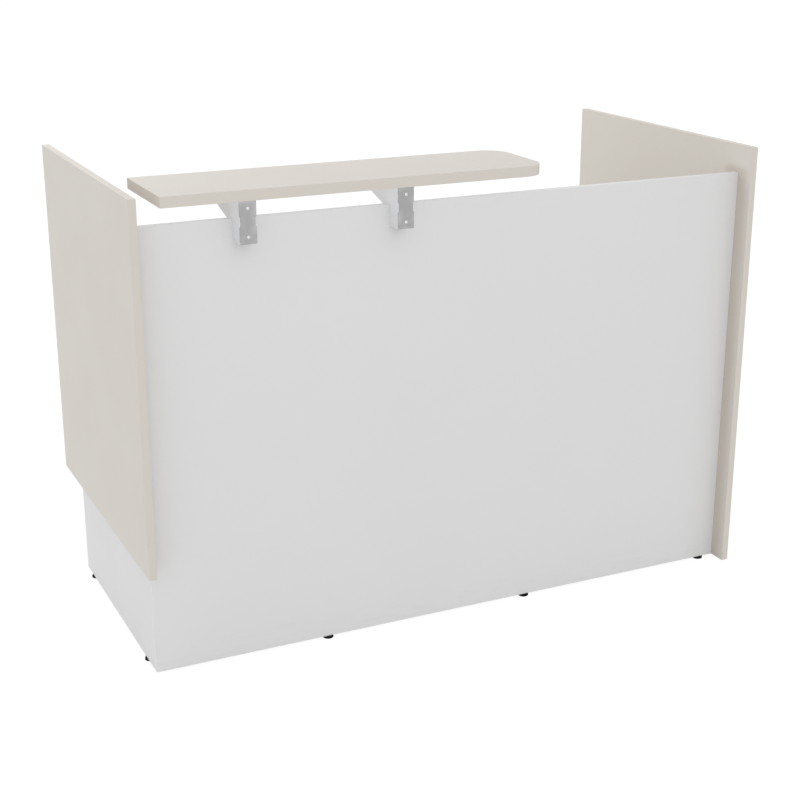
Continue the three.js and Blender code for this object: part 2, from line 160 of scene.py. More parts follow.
class Graph:
    """Adds and links the nodes of one node tree."""

    def __init__(self, tree: bpy.types.NodeTree) -> None:
        """Start with an empty tree."""
        tree.nodes.clear()
        self.tree = tree

    def add(self, kind: str, values: Values | None = None, **settings: object) -> bpy.types.Node:
        """Add a node.

        Args:
            kind: The node's Blender type.
            values: What its sockets hold, as a number, a colour, a point or an output to link.
            settings: The node's own properties.

        Returns:
            The new node.
        """
        node = self.tree.nodes.new(kind)
        for name, setting in settings.items():
            setattr(node, name, setting)
        for key, value in (values or {}).items():
            self.fill(node.inputs[key], value)
        return node

    def fill(self, socket: Socket, value: SocketValue) -> None:
        """Link an output to a socket, or write a plain value on it.

        Args:
            socket: The input to fill.
            value: The output, or the plain value.
        """
        if isinstance(value, Socket):
            self.tree.links.new(value, socket)
        elif socket.type == "RGBA":
            socket.default_value = (*value, 1)
        else:
            socket.default_value = value

    def math(self, operation: str, first: SocketValue, second: SocketValue = 0.0) -> Socket:
        """Work out a value from one or two others."""
        return self.add("ShaderNodeMath", {0: first, 1: second}, operation=operation).outputs[0]

    def product(self, *factors: SocketValue) -> Socket:
        """Multiply values."""
        return reduce(lambda first, second: self.math("MULTIPLY", first, second), factors)

    def vector(self, operation: str, first: SocketValue, second: SocketValue = (0, 0, 0)) -> Socket:
        """Work out a point from one or two others."""
        return self.add("ShaderNodeVectorMath", {0: first, 1: second}, operation=operation).outputs["Vector"]

    def length(self, point: SocketValue) -> Socket:
        """Give how far a point lies from the origin."""
        return self.add("ShaderNodeVectorMath", {0: point}, operation="LENGTH").outputs["Value"]

    def remap(
        self,
        value: SocketValue,
        span: Pair,
        low: SocketValue = 0.0,
        high: SocketValue = 1.0,
        fade: Fade = Fade.EVEN,
    ) -> Socket:
        """Spread the part of a value that lies in a span over low to high."""
        values = {"Value": value, "From Min": span[0], "From Max": span[1], "To Min": low, "To Max": high}
        return self.add("ShaderNodeMapRange", values, interpolation_type=fade.value).outputs[0]

    def blend(
        self,
        share: SocketValue,
        first: SocketValue,
        second: SocketValue,
        how: Blend = Blend.MIX,
    ) -> Socket:
        """Put a share of a second colour over a first."""
        values = {MIX_SHARE: share, MIX_FIRST: first, MIX_SECOND: second}
        return self.add("ShaderNodeMix", values, data_type="RGBA", blend_type=how.value).outputs[MIX_RESULT]

    def either(self, share: SocketValue, first: bpy.types.Node, second: bpy.types.Node) -> bpy.types.Node:
        """Mix two shaders."""
        values = {0: share, 1: first.outputs[0], 2: second.outputs[0]}
        return self.add("ShaderNodeMixShader", values)

    def place(self) -> Socket:
        """Give the point being shaded, in the frame's metres."""
        return self.add("ShaderNodeTexCoord").outputs["Object"]

    def height_of(self, point: SocketValue) -> Socket:
        """Give a point's third coordinate."""
        return self.add("ShaderNodeSeparateXYZ", {0: point}).outputs["Z"]

    def stretch(self, point: SocketValue, scale: Triple) -> Socket:
        """Scale a point along each axis."""
        return self.add("ShaderNodeMapping", {"Vector": point, "Scale": scale}).outputs[0]

    def noise(self, point: SocketValue, scale: SocketValue, detail: float = 2.0) -> Socket:
        """Give a soft random value, at so many features to the metre."""
        return self.add("ShaderNodeTexNoise", {"Vector": point, "Scale": scale, "Detail": detail}).outputs[0]

    def cells(self, point: SocketValue, scale: SocketValue) -> Socket:
        """Give the distance to the nearest of so many random points to the metre."""
        return self.add("ShaderNodeTexVoronoi", {"Vector": point, "Scale": scale}).outputs["Distance"]


class Kind(Enum):
    """What a group's socket carries."""

    COLOUR = "NodeSocketColor"
    VALUE = "NodeSocketFloat"


@dataclass(frozen=True)
class Effect(ABC):
    """A shader node group that finishes share, built once.

    Attributes:
        name: The group's name.
        takes: Its inputs.
        gives: Its outputs.
    """

    name: ClassVar[str]
    takes: ClassVar[dict[str, Kind]]
    gives: ClassVar[dict[str, Kind]]

    def tree(self) -> bpy.types.NodeTree:
        """Give the group's tree, and build it at the first call."""
        return bpy.data.node_groups.get(self.name) or self._build()

    def _build(self) -> bpy.types.NodeTree:
        """Make the tree with its sockets and wire it.

        Returns:
            The new tree.
        """
        tree = bpy.data.node_groups.new(self.name, "ShaderNodeTree")
        for way, sockets in (("INPUT", self.takes), ("OUTPUT", self.gives)):
            for name, kind in sockets.items():
                tree.interface.new_socket(name=name, in_out=way, socket_type=kind.value)
        graph = Graph(tree)
        given = graph.add("NodeGroupInput").outputs
        result = graph.add("NodeGroupOutput").inputs
        for name, output in self.wire(graph, given).items():
            graph.fill(result[name], output)
        return tree

    @abstractmethod
    def wire(self, graph: Graph, given: Outputs) -> dict[str, Socket]:
        """Add the group's nodes.

        Args:
            graph: The tree to add them to.
            given: What the group is given.

        Returns:
            What feeds each of its outputs.
        """

    def apply(self, graph: Graph, **values: SocketValue) -> Outputs:
        """Place the group in a material.

        Args:
            graph: The material's tree.
            values: The group's inputs, with underscores for spaces.

        Returns:
            The group's outputs.
        """
        node = graph.add("ShaderNodeGroup", node_tree=self.tree())
        for name, value in values.items():
            graph.fill(node.inputs[name.replace("_", " ")], value)
        return node.outputs


# The values between which nearly all of a noise lies
NOISE_SPAN: Pair = (0.3, 0.7)


@dataclass(frozen=True)
class PearlSkin(Effect):
    """The fine pearl embossing of a faced board, with a slight drift of tone and gloss.

    Attributes:
        ripples: How many ripples there are to each pearl.
        pearl_share: The pearls' share of the height.
        ripple_share: The ripples' share of the height.
        cloud_scale: How many clouds of tone there are to the metre.
        cloud_detail: How finely the clouds break up.
        gloss_scale: How many patches of gloss there are to the metre.
        gloss_spread: How far the roughness wanders to either side.
    """

    name = "Pearl skin"
    takes = {"Colour": Kind.COLOUR, "Roughness": Kind.VALUE, "Pearls": Kind.VALUE, "Drift": Kind.VALUE}
    gives = {"Colour": Kind.COLOUR, "Roughness": Kind.VALUE, "Height": Kind.VALUE}
    ripples: float = 0.4
    pearl_share: float = 0.6
    ripple_share: float = 0.4
    cloud_scale: float = 2.2
    cloud_detail: float = 3.0
    gloss_scale: float = 5.0
    gloss_spread: float = 0.05

    def wire(self, graph: Graph, given: Outputs) -> dict[str, Socket]:
        """Emboss pearls, drift the tone over the board and let the gloss wander.

        Args:
            graph: The group's tree.
            given: The colour, the roughness, the pearls to the metre and the drift of tone.

        Returns:
            The colour, the roughness and the height.
        """
        place = graph.place()
        pearls = graph.cells(place, given["Pearls"])
        ripple = graph.noise(place, graph.product(given["Pearls"], self.ripples))
        raised = graph.product(pearls, self.pearl_share)
        height = graph.math("ADD", raised, graph.product(ripple, self.ripple_share))
        cloud = graph.noise(place, self.cloud_scale, self.cloud_detail)
        darkest = graph.math("SUBTRACT", 1.0, given["Drift"])
        brightest = graph.math("ADD", 1.0, given["Drift"])
        tone = graph.remap(cloud, NOISE_SPAN, darkest, brightest)
        colour = graph.blend(1.0, given["Colour"], tone, Blend.MULTIPLY)
        patch = graph.noise(place, self.gloss_scale)
        gloss = graph.remap(patch, NOISE_SPAN, -self.gloss_spread, self.gloss_spread)
        roughness = graph.math("ADD", given["Roughness"], gloss)
        return {"Colour": colour, "Roughness": roughness, "Height": height}


@dataclass(frozen=True)
class ArrisWear(Effect):
    """Rubbing along a piece's rounded edges, broken up along their length.

    Attributes:
        patch_scale: How many rubbed patches there are to the metre.
        patch_detail: How finely they break up.
        patch_span: The noise at which a patch starts and at which it is full.
    """

    name = "Arris wear"
    takes = {"Colour": Kind.COLOUR, "Worn Colour": Kind.COLOUR, "Amount": Kind.VALUE}
    gives = {"Colour": Kind.COLOUR}
    patch_scale: float = 38.0
    patch_detail: float = 4.0
    patch_span: Pair = (0.42, 0.68)

    def wire(self, graph: Graph, given: Outputs) -> dict[str, Socket]:
        """Mask the arris with patchy noise and tint it.

        Args:
            graph: The group's tree.
            given: The colour, the colour where it is rubbed, and how much of that shows.

        Returns:
            The colour.
        """
        arris = graph.add("ShaderNodeAttribute", attribute_name=WEAR_LAYER).outputs["Fac"]
        blotch = graph.noise(graph.place(), self.patch_scale, self.patch_detail)
        patch = graph.remap(blotch, self.patch_span)
        mask = graph.product(arris, patch, given["Amount"])
        return {"Colour": graph.blend(mask, given["Colour"], given["Worn Colour"])}


@dataclass(frozen=True)
class SettledDust(Effect):
    """A thin, uneven film of dust on whatever faces up.

    Attributes:
        tilt_span: How far up a surface faces where the film starts and where it is full.
        film_scale: How many patches of film there are to the metre.
        film_detail: How finely they break up.
        film_span: The noise at which a patch is thinnest and at which it is full.
        thinnest: What is left of the film between the patches.
        dulling: How much roughness a full film adds.
    """

    name = "Settled dust"
    takes = {
        "Colour": Kind.COLOUR,
        "Dust Colour": Kind.COLOUR,
        "Roughness": Kind.VALUE,
        "Amount": Kind.VALUE,
    }
    gives = {"Colour": Kind.COLOUR, "Roughness": Kind.VALUE}
    tilt_span: Pair = (0.5, 1.0)
    film_scale: float = 9.0
    film_detail: float = 5.0
    film_span: Pair = (0.3, 0.75)
    thinnest: float = 0.25
    dulling: float = 0.25

    def wire(self, graph: Graph, given: Outputs) -> dict[str, Socket]:
        """Lay the film by the surface's upward tilt.

        Args:
            graph: The group's tree.
            given: The colour, the dust's colour, the roughness, and how much dust lies.

        Returns:
            The colour and the roughness.
        """
        normal = graph.add("ShaderNodeNewGeometry").outputs["Normal"]
        tilt = graph.remap(graph.height_of(normal), self.tilt_span)
        patch = graph.noise(graph.place(), self.film_scale, self.film_detail)
        film = graph.remap(patch, self.film_span, self.thinnest)
        mask = graph.product(tilt, film, given["Amount"])
        dulled = graph.math("ADD", given["Roughness"], graph.product(mask, self.dulling))
        return {"Colour": graph.blend(mask, given["Colour"], given["Dust Colour"]), "Roughness": dulled}


@dataclass(frozen=True)
class FloorScuff(Effect):
    """Faint grey rubs near the floor, from shoes and mops.

    Attributes:
        rub_stretch: How many rubs there are to the metre along each axis.
        rub_detail: How finely they break up.
        rub_span: The noise at which a rub starts and at which it is full.
    """

    name = "Floor scuff"
    takes = {"Colour": Kind.COLOUR, "Scuff Colour": Kind.COLOUR, "Reach": Kind.VALUE, "Amount": Kind.VALUE}
    gives = {"Colour": Kind.COLOUR}
    rub_stretch: Triple = (14.0, 14.0, 90.0)
    rub_detail: float = 4.0
    rub_span: Pair = (0.5, 0.72)

    def wire(self, graph: Graph, given: Outputs) -> dict[str, Socket]:
        """Fade flat rubs out with their height above the floor.

        Args:
            graph: The group's tree.
            given: The colour, the rubs' colour, how high they reach, and how much of them shows.

        Returns:
            The colour.
        """
        place = graph.place()
        level = graph.math("DIVIDE", graph.height_of(place), given["Reach"])
        near = graph.remap(level, (0.0, 1.0), 1.0, 0.0)
        smeared = graph.noise(graph.stretch(place, self.rub_stretch), 1.0, self.rub_detail)
        rubs = graph.remap(smeared, self.rub_span)
        mask = graph.product(near, rubs, given["Amount"])
        return {"Colour": graph.blend(mask, given["Colour"], given["Scuff Colour"])}


@dataclass(frozen=True)
class PaintedCornerShade(Effect):
    """Painted shade: a warm, patchy darkening in the corners where a board meets the front panel, standing
    in for the shade that falls there.

    Attributes:
        squeeze: How much sooner it ends along each axis, so that it doesn't come through a board.
        reach_span: How far from the front panel it starts to fade, and where it ends.
        patch_scale: How many patches there are to the metre.
        patch_detail: How finely they break up.
        thinnest: What is left of the painted shade between the patches.
    """

    name = "Painted corner shade"
    takes = {"Colour": Kind.COLOUR, "Grime Colour": Kind.COLOUR, "Amount": Kind.VALUE}
    gives = {"Colour": Kind.COLOUR}
    squeeze: Triple = (6.0, 1.0, 2.2)
    reach_span: Pair = (0.014, 0.054)
    patch_scale: float = 7.0
    patch_detail: float = 3.0
    thinnest: float = 0.85

    def wire(self, graph: Graph, given: Outputs) -> dict[str, Socket]:
        """Fade the painted shade out with its distance from the front panel.

        Args:
            graph: The group's tree.
            given: The colour, the painted shade's colour, and how much of it shows.

        Returns:
            The colour.
        """
        low, high = box_of("front_panel")
        place = graph.place()
        offset = graph.vector("ABSOLUTE", graph.vector("SUBTRACT", place, (low + high) / 2))
        beyond = graph.vector("MAXIMUM", graph.vector("SUBTRACT", offset, (high - low) / 2))
        distance = graph.length(graph.vector("MULTIPLY", beyond, self.squeeze))
        near = graph.remap(distance, self.reach_span, 1.0, 0.0, Fade.SOFT)
        blotch = graph.noise(place, self.patch_scale, self.patch_detail)
        patch = graph.remap(blotch, NOISE_SPAN, self.thinnest)
        mask = graph.product(near, patch, given["Amount"])
        return {"Colour": graph.blend(mask, given["Colour"], given["Grime Colour"])}


@dataclass(frozen=True)
class RolledSteel(Effect):
    """The drawn streaks and faint spangle of sheet steel under its coat.

    Attributes:
        streak_stretch: How many streaks there are to the metre along each axis.
        streak_detail: How finely they break up.
        spangle_scale: How many flakes there are to the metre.
        spangle_span: The distances from a flake's middle at which it is darkest and brightest.
        gloss_spread: How far the roughness wanders to either side.
    """

    name = "Rolled steel"
    takes = {"Colour": Kind.COLOUR, "Roughness": Kind.VALUE, "Streaks": Kind.VALUE, "Spangle": Kind.VALUE}
    gives = {"Colour": Kind.COLOUR, "Roughness": Kind.VALUE, "Height": Kind.VALUE}
    streak_stretch: Triple = (1400.0, 1400.0, 60.0)
    streak_detail: float = 3.0
    spangle_scale: float = 420.0
    spangle_span: Pair = (0.0, 0.9)
    gloss_spread: float = 0.08

    def wire(self, graph: Graph, given: Outputs) -> dict[str, Socket]:
        """Vary tone, gloss and height with streaks and spangle.

        Args:
            graph: The group's tree.
            given: The colour, the roughness, and how far streaks and spangle vary the tone.

        Returns:
            The colour, the roughness and the height.
        """
        place = graph.place()
        streak = graph.noise(graph.stretch(place, self.streak_stretch), 1.0, self.streak_detail)
        spangle = graph.cells(place, self.spangle_scale)
        drawn = graph.product(graph.remap(streak, NOISE_SPAN, -1.0), given["Streaks"])
        flake = graph.product(graph.remap(spangle, self.spangle_span, -1.0), given["Spangle"])
        tone = graph.math("ADD", graph.math("ADD", drawn, flake), 1.0)
        colour = graph.blend(1.0, given["Colour"], tone, Blend.MULTIPLY)
        gloss = graph.remap(streak, NOISE_SPAN, -self.gloss_spread, self.gloss_spread)
        roughness = graph.math("ADD", given["Roughness"], gloss)
        return {"Colour": colour, "Roughness": roughness, "Height": streak}


PEARL_SKIN = PearlSkin()
ARRIS_WEAR = ArrisWear()
SETTLED_DUST = SettledDust()
FLOOR_SCUFF = FloorScuff()
PAINTED_CORNER_SHADE = PaintedCornerShade()
ROLLED_STEEL = RolledSteel()
DUST_COLOUR: Colour = (0.62, 0.60, 0.57)
SCUFF_COLOUR: Colour = (0.42, 0.41, 0.40)
# Painted shade: the warm colour that darkens the corners beside the front panel
PAINTED_SHADE_COLOUR: Colour = (0.42, 0.34, 0.26)


# Finishes


@dataclass(frozen=True)
class Finish(ABC):
    """A surface finish, kept as one material.

    Attributes:
        name: The material's name.
        slot: The record's material slot that it belongs to; not used.
        colour: Its base colour, in linear light.
        roughness: How matt it is on the whole.
        dust: How much dust lies on what faces up.
        relief: The height of its bumps, in metres.
    """

    name: str
    slot: str
    colour: Colour
    roughness: float
    dust: float = 0.05
    relief: float = 0.00001

    def material(self) -> bpy.types.Material:
        """Give the material, and build it at the first call."""
        return bpy.data.materials.get(self.name) or self._build()

    def _build(self) -> bpy.types.Material:
        """Make the material's shader and wire its surface.

        Returns:
            The new material.
        """
        material = bpy.data.materials.new(self.name)
        material.use_nodes = True
        graph = Graph(material.node_tree)
        shader = graph.add("ShaderNodeBsdfPrincipled", self.fixed())
        colour, roughness, height = self.surface(graph)
        dusty = SETTLED_DUST.apply(
            graph, Colour=colour, Dust_Colour=DUST_COLOUR, Roughness=roughness, Amount=self.dust)
        bump = graph.add("ShaderNodeBump", {"Height": height, "Distance": self.relief})
        graph.fill(shader.inputs["Base Color"], dusty["Colour"])
        graph.fill(shader.inputs["Roughness"], dusty["Roughness"])
        graph.fill(shader.inputs["Normal"], bump.outputs["Normal"])
        graph.add("ShaderNodeOutputMaterial", {"Surface": shader.outputs["BSDF"]})
        return material

    @abstractmethod
    def fixed(self) -> Values:
        """Give the shader values that are the same all over."""

    @abstractmethod
    def surface(self, graph: Graph) -> Surface:
        """Wire what changes over the surface.

        Args:
            graph: The material's tree.

        Returns:
            The colour, the roughness and the height.
        """


@dataclass(frozen=True)
class BoardFinish(Finish):
    """A melamine facing or its edging strip.

    Attributes:
        pearls: How many pearls there are to the metre.
        drift: How far the tone drifts over the board.
        specular: How strongly it mirrors.
        worn_colour: The colour of its rubbed edges.
        wear: How much of that colour shows.
        scuff: How much of the rubs near the floor shows.
        scuff_reach: How high those rubs reach.
        painted_shade: How much painted shade darkens its corners beside the front panel.
    """

    pearls: float = 900.0
    drift: float = 0.008
    specular: float = 0.10
    worn_colour: Colour = (0.70, 0.68, 0.65)
    wear: float = 0.20
    scuff: float = 0.10
    scuff_reach: float = 0.09
    painted_shade: float = 0.0

    def fixed(self) -> Values:
        """Give the facing's even sheen."""
        return {"Specular IOR Level": self.specular}

    def surface(self, graph: Graph) -> Surface:
        """Wire pearls, rubbed edges, floor scuffs and painted shade in the corners.

        Args:
            graph: The material's tree.

        Returns:
            The colour, the roughness and the height.
        """
        skin = PEARL_SKIN.apply(
            graph, Colour=self.colour, Roughness=self.roughness, Pearls=self.pearls, Drift=self.drift)
        worn = ARRIS_WEAR.apply(
            graph, Colour=skin["Colour"], Worn_Colour=self.worn_colour, Amount=self.wear)
        scuffed = FLOOR_SCUFF.apply(
            graph,
            Colour=worn["Colour"],
            Scuff_Colour=SCUFF_COLOUR,
            Reach=self.scuff_reach,
            Amount=self.scuff,
        )
        # Painted shade in the corners where the board meets the front panel
        shaded_corners = PAINTED_CORNER_SHADE.apply(
            graph, Colour=scuffed["Colour"], Grime_Colour=PAINTED_SHADE_COLOUR, Amount=self.painted_shade)
        return shaded_corners["Colour"], skin["Roughness"], skin["Height"]


@dataclass(frozen=True)
class MetalFinish(Finish):
    """Coated or plated sheet steel.

    Attributes:
        streaks: How far drawn streaks vary the tone.
        spangle: How far the flakes vary it.
        metallic: The share of bare metal.
        worn_colour: The colour of its rubbed edges.
        wear: How much of that colour shows.
    """

    streaks: float = 0.03
    spangle: float = 0.04
    metallic: float = 1.0
    worn_colour: Colour = (0.62, 0.62, 0.62)
    wear: float = 0.4

    def fixed(self) -> Values:
        """Give the coat's even share of metal."""
        return {"Metallic": self.metallic}

    def surface(self, graph: Graph) -> Surface:
        """Wire streaks, spangle and brightened edges.

        Args:
            graph: The material's tree.

        Returns:
            The colour, the roughness and the height.
        """
        steel = ROLLED_STEEL.apply(
            graph, Colour=self.colour, Roughness=self.roughness, Streaks=self.streaks, Spangle=self.spangle)
        worn = ARRIS_WEAR.apply(
            graph, Colour=steel["Colour"], Worn_Colour=self.worn_colour, Amount=self.wear)
        return worn["Colour"], steel["Roughness"], steel["Height"]


@dataclass(frozen=True)
class PlasticFinish(Finish):
    """Moulded black plastic.

    Attributes:
        grain: How many of the mould's grains there are to the metre.
        drift: How far the tone drifts over the moulding.
        specular: How strongly it mirrors.
        worn_colour: The colour of its rubbed edges.
        wear: How much of that colour shows.
    """

    grain: float = 2600.0
    drift: float = 0.12
    specular: float = 0.06
    worn_colour: Colour = (0.03, 0.03, 0.03)
    wear: float = 0.3

    def fixed(self) -> Values:
        """Give the moulding's even sheen."""
        return {"Specular IOR Level": self.specular}

    def surface(self, graph: Graph) -> Surface:
        """Wire the mould's grain and rubbed edges.

        Args:
            graph: The material's tree.

        Returns:
            The colour, the roughness and the height.
        """
        skin = PEARL_SKIN.apply(
            graph, Colour=self.colour, Roughness=self.roughness, Pearls=self.grain, Drift=self.drift)
        worn = ARRIS_WEAR.apply(
            graph, Colour=skin["Colour"], Worn_Colour=self.worn_colour, Amount=self.wear)
        return worn["Colour"], skin["Roughness"], skin["Height"]


WHITE: Colour = (0.775, 0.775, 0.775)
CREAM: Colour = (0.697, 0.662, 0.612)
CREAM_STRIP: Colour = (0.690, 0.648, 0.590)
WHITE_FACING = BoardFinish("White facing", "white_board", WHITE, 0.45)
WHITE_EDGING = BoardFinish("White edging", "white_board", WHITE, 0.38, relief=0.000004)
# The cream boards carry painted shade in their corners beside the front panel
CREAM_FACING = BoardFinish("Cream facing", "cream_board", CREAM, 0.48, painted_shade=0.37)
CREAM_EDGING = BoardFinish("Cream edging", "cream_board", CREAM_STRIP, 0.40, relief=0.000004, painted_shade=0.37)
ARM_COAT = MetalFinish("Silver arm coat", "bracket_silver", (0.774, 0.783, 0.797), 0.45, metallic=0.08)
PLATE_COAT = MetalFinish("Grey plate coat", "bracket_plate", (0.366, 0.366, 0.367), 0.40)
ANGLE_ZINC = MetalFinish("Zinc-plated angle", "angle_steel", (0.58, 0.59, 0.60), 0.36, spangle=0.09)
SCREW_ZINC = MetalFinish("Bright zinc screw", "screw_zinc", (0.70, 0.71, 0.72), 0.28)
FOOT_ZINC = MetalFinish("Zinc-plated foot steel", "foot_steel", (0.52, 0.53, 0.54), 0.34)
FOOT_PLASTIC = PlasticFinish("Black foot plastic", "foot_plastic", (0.007, 0.007, 0.007), 0.60, dust=0.01)


# Meshes


def loft(rings: Rings, closed: bool = False, worn: Iterable[int] = ()) -> BMesh:
    """Skin a row of rings with quads.

    Args:
        rings: Rings of points, each with as many points as the next.
        closed: Whether the last ring joins the first, instead of both ends being capped.
        worn: Which rings lie on a rounded edge that gets rubbed.

    Returns:
        The closed mesh.
    """
    mesh = bmesh.new()
    layer = mesh.verts.layers.float.new(WEAR_LAYER)
    rows = [[mesh.verts.new(point) for point in ring] for ring in rings]
    for index in worn:
        for vert in rows[index]:
            vert[layer] = 1.0
    ends = rows[1:] + rows[:1] if closed else rows[1:]
    for row, after in zip(rows, ends):
        for i, vert in enumerate(row):
            j = (i + 1) % len(row)
            mesh.faces.new((vert, row[j], after[j], after[i]))
    if not closed:
        mesh.faces.new(rows[0])
        mesh.faces.new(rows[-1])
    bmesh.ops.recalc_face_normals(mesh, faces=mesh.faces)
    return mesh


def revolve(
    profile: Sequence[Pair],
    sides: int,
    closed: bool = False,
    worn: Iterable[int] = (),
    shape: RadiusAt | None = None,
) -> BMesh:
    """Turn a profile round +Z.

    Args:
        profile: Points as radius and height.
        sides: How many steps a full turn has.
        closed: Whether the profile's last point joins its first.
        worn: Which of its points lie on a rubbed edge.
        shape: Gives the radius at a profile radius, height and angle, where it isn't the same all round.

    Returns:
        The turned mesh.
    """
    angles = [FULL_TURN * i / sides for i in range(sides)]
    rings = []
    for radius, height in profile:
        reach = [shape(radius, height, angle) if shape else radius for angle in angles]
        rings.append([Vector((r * math.cos(a), r * math.sin(a), height)) for r, a in zip(reach, angles)])
    return loft(rings, closed, worn)


def wave(angle: float, count: int) -> float:
    """Give a value that swings between 0 and 1 so many times in a turn."""
    return 0.5 + 0.5 * math.cos(count * angle)


def arc(radius: float, centre: Pair, start: float, end: float, steps: int) -> list[Pair]:
    """Give points along an arc, both ends included."""
    angles = [start + (end - start) * i / steps for i in range(steps + 1)]
    return [(centre[0] + radius * math.cos(a), centre[1] + radius * math.sin(a)) for a in angles]


def round_corners(corners: Sequence[Triple], steps: int = 4) -> list[Vector]:
    """Round the corners of an outline.

    Args:
        corners: Each corner's two coordinates and its radius, 0 for a sharp one.
        steps: How many steps each round corner has.

    Returns:
        The outline's points.
    """
    outline: list[Vector] = []
    points = [Vector(corner[:2]) for corner in corners]
    for i, (_, _, radius) in enumerate(corners):
        corner = points[i]
        if radius == 0:
            outline.append(corner)
            continue
        back = (points[i - 1] - corner).normalized()
        on = (points[(i + 1) % len(points)] - corner).normalized()
        half = back.angle(on) / 2
        centre = corner + (back + on).normalized() * (radius / math.sin(half))
        first = corner + back * (radius / math.tan(half)) - centre
        last = corner + on * (radius / math.tan(half)) - centre
        start = math.atan2(first.y, first.x)
        sweep = (math.atan2(last.y, last.x) - start + math.pi) % FULL_TURN - math.pi
        outline += [Vector(p) for p in arc(radius, tuple(centre), start, start + sweep, steps)]
    return outline


def shrink(outline: Sequence[Vector], depth: float) -> list[Vector]:
    """Move each side of an outline inwards.

    Args:
        outline: Anticlockwise points.
        depth: How far the sides move, which is little against their lengths.

    Returns:
        As many points, on the moved sides.
    """
    moved = []
    for i, point in enumerate(outline):
        before = (point - outline[i - 1]).normalized()
        after = (outline[(i + 1) % len(outline)] - point).normalized()
        first = Vector((-before.y, before.x))
        second = Vector((-after.y, after.x))
        moved.append(point + (first + second) * (depth / (1 + first.dot(second))))
    return moved


def prism(outline: Sequence[Vector], axis: Axis, low: float, high: float, chamfer: float = 0.0) -> BMesh:
    """Extrude an outline along an axis.

    Args:
        outline: Anticlockwise points on the two axes that follow the one it runs along.
        axis: The axis that it runs along.
        low: Where it starts.
        high: Where it ends.
        chamfer: How far both ends' edges are broken.

    Returns:
        The prism.
    """
    steps = [(0.0, low), (0.0, high)]
    if chamfer:
        steps = [(chamfer, low), (0.0, low + chamfer), (0.0, high - chamfer), (chamfer, high)]
    rings = [[axis.point(p.x, p.y, along) for p in shrink(outline, depth)] for depth, along in steps]
    return loft(rings, worn=range(len(rings)) if chamfer else ())


def join(meshes: Iterable[BMesh]) -> BMesh:
    """Put several meshes into one.

    Args:
        meshes: What is put together. They are freed.

    Returns:
        The one mesh.
    """
    joined = bmesh.new()
    for mesh in meshes:
        part = bpy.data.meshes.new("part")
        mesh.to_mesh(part)
        mesh.free()
        joined.from_mesh(part)
        bpy.data.meshes.remove(part)
    return joined


def object_of(name: str, mesh: BMesh) -> bpy.types.Object:
    """Make an object of a mesh and put it in the scene.

    Args:
        name: The object's name.
        mesh: Its shape. It is freed.

    Returns:
        The object.
    """
    data = bpy.data.meshes.new(name)
    mesh.to_mesh(data)
    mesh.free()
    item = bpy.data.objects.new(name, data)
    bpy.context.scene.collection.objects.link(item)
    return item


def carve(mesh: BMesh, cutter: BMesh) -> BMesh:
    """Cut one closed mesh out of another.

    Args:
        mesh: What is cut. It is freed.
        cutter: What is taken away. It is freed.

    Returns:
        The mesh that is left.
    """
    target = object_of("carved", mesh)
    tool = object_of("cutter", cutter)
    cut = target.modifiers.new("cut", "BOOLEAN")
    cut.operation = "DIFFERENCE"
    cut.solver = "EXACT"
    cut.object = tool
    graph = bpy.context.evaluated_depsgraph_get()
    left = bpy.data.meshes.new_from_object(target.evaluated_get(graph))
    result = bmesh.new()
    result.from_mesh(left)
    for item in (target, tool):
        data = item.data
        bpy.data.objects.remove(item)
        bpy.data.meshes.remove(data)
    bpy.data.meshes.remove(left)
    return result


def add_piece(
    name: str,
    mesh: BMesh,
    finish: Finish,
    body: str,
    stands_for: Sequence[str] = (),
) -> bpy.types.Object:
    """Make a dressed piece that rides on a body.

    Args:
        name: The piece's name.
        mesh: Its shape, in the frame. It is freed.
        finish: What it is dressed in.
        body: The body that it moves with.
        stands_for: The frame's nodes that it is shown in place of.

    Returns:
        The piece.
    """
    piece = object_of(name, mesh)
    piece.data.polygons.foreach_set("use_smooth", [True] * len(piece.data.polygons))
    piece.data.set_sharp_from_angle(angle=SHARP_ANGLE)
    piece.data.materials.append(finish.material())
    evened = piece.modifiers.new("even normals", "WEIGHTED_NORMAL")
    evened.keep_sharp = True
    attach(piece, body)
    if stands_for:
        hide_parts(*stands_for)
    LOG.info("%s: %d faces in %s", name, len(piece.data.polygons), finish.name)
    return piece


# Fasteners


def helix(core: float, crest: float, pitch: float, low: float, high: float, flank: float = 1.5) -> RadiusAt:
    """Shape a right-hand thread that runs out at both ends.

    Args:
        core: The radius at the thread's root.
        crest: The radius at its crest.
        pitch: How far one turn climbs.
        low: Where the thread starts.
        high: Where it ends.
        flank: How steeply its flanks rise, where 1 makes a sharp crest and more a flat one.

    Returns:
        What gives the radius at a profile radius, height and angle.
    """

    def radius_at(radius: float, height: float, angle: float) -> float:
        """Give the thread's radius inside its run, and the profile's own outside it.

        Args:
            radius: The profile's radius.
            height: The height on the profile.
            angle: The angle round it.

        Returns:
            The radius there.
        """
        if not low <= height <= high:
            return radius
        phase = (height / pitch - angle / FULL_TURN) % 1.0
        rise = min(1.0, flank * (1 - abs(2 * phase - 1)))
        run_out = min(1.0, (height - low) / pitch, (high - height) / pitch)
        return core + (crest - core) * rise * run_out

    return radius_at


def thread_rows(radius: float, pitch: float, low: float, high: float, rows: int = 6) -> list[Pair]:
    """Give profile points close enough together to hold a thread."""
    count = math.ceil((high - low) / pitch * rows)
    return [(radius, low + (high - low) * i / count) for i in range(count + 1)]


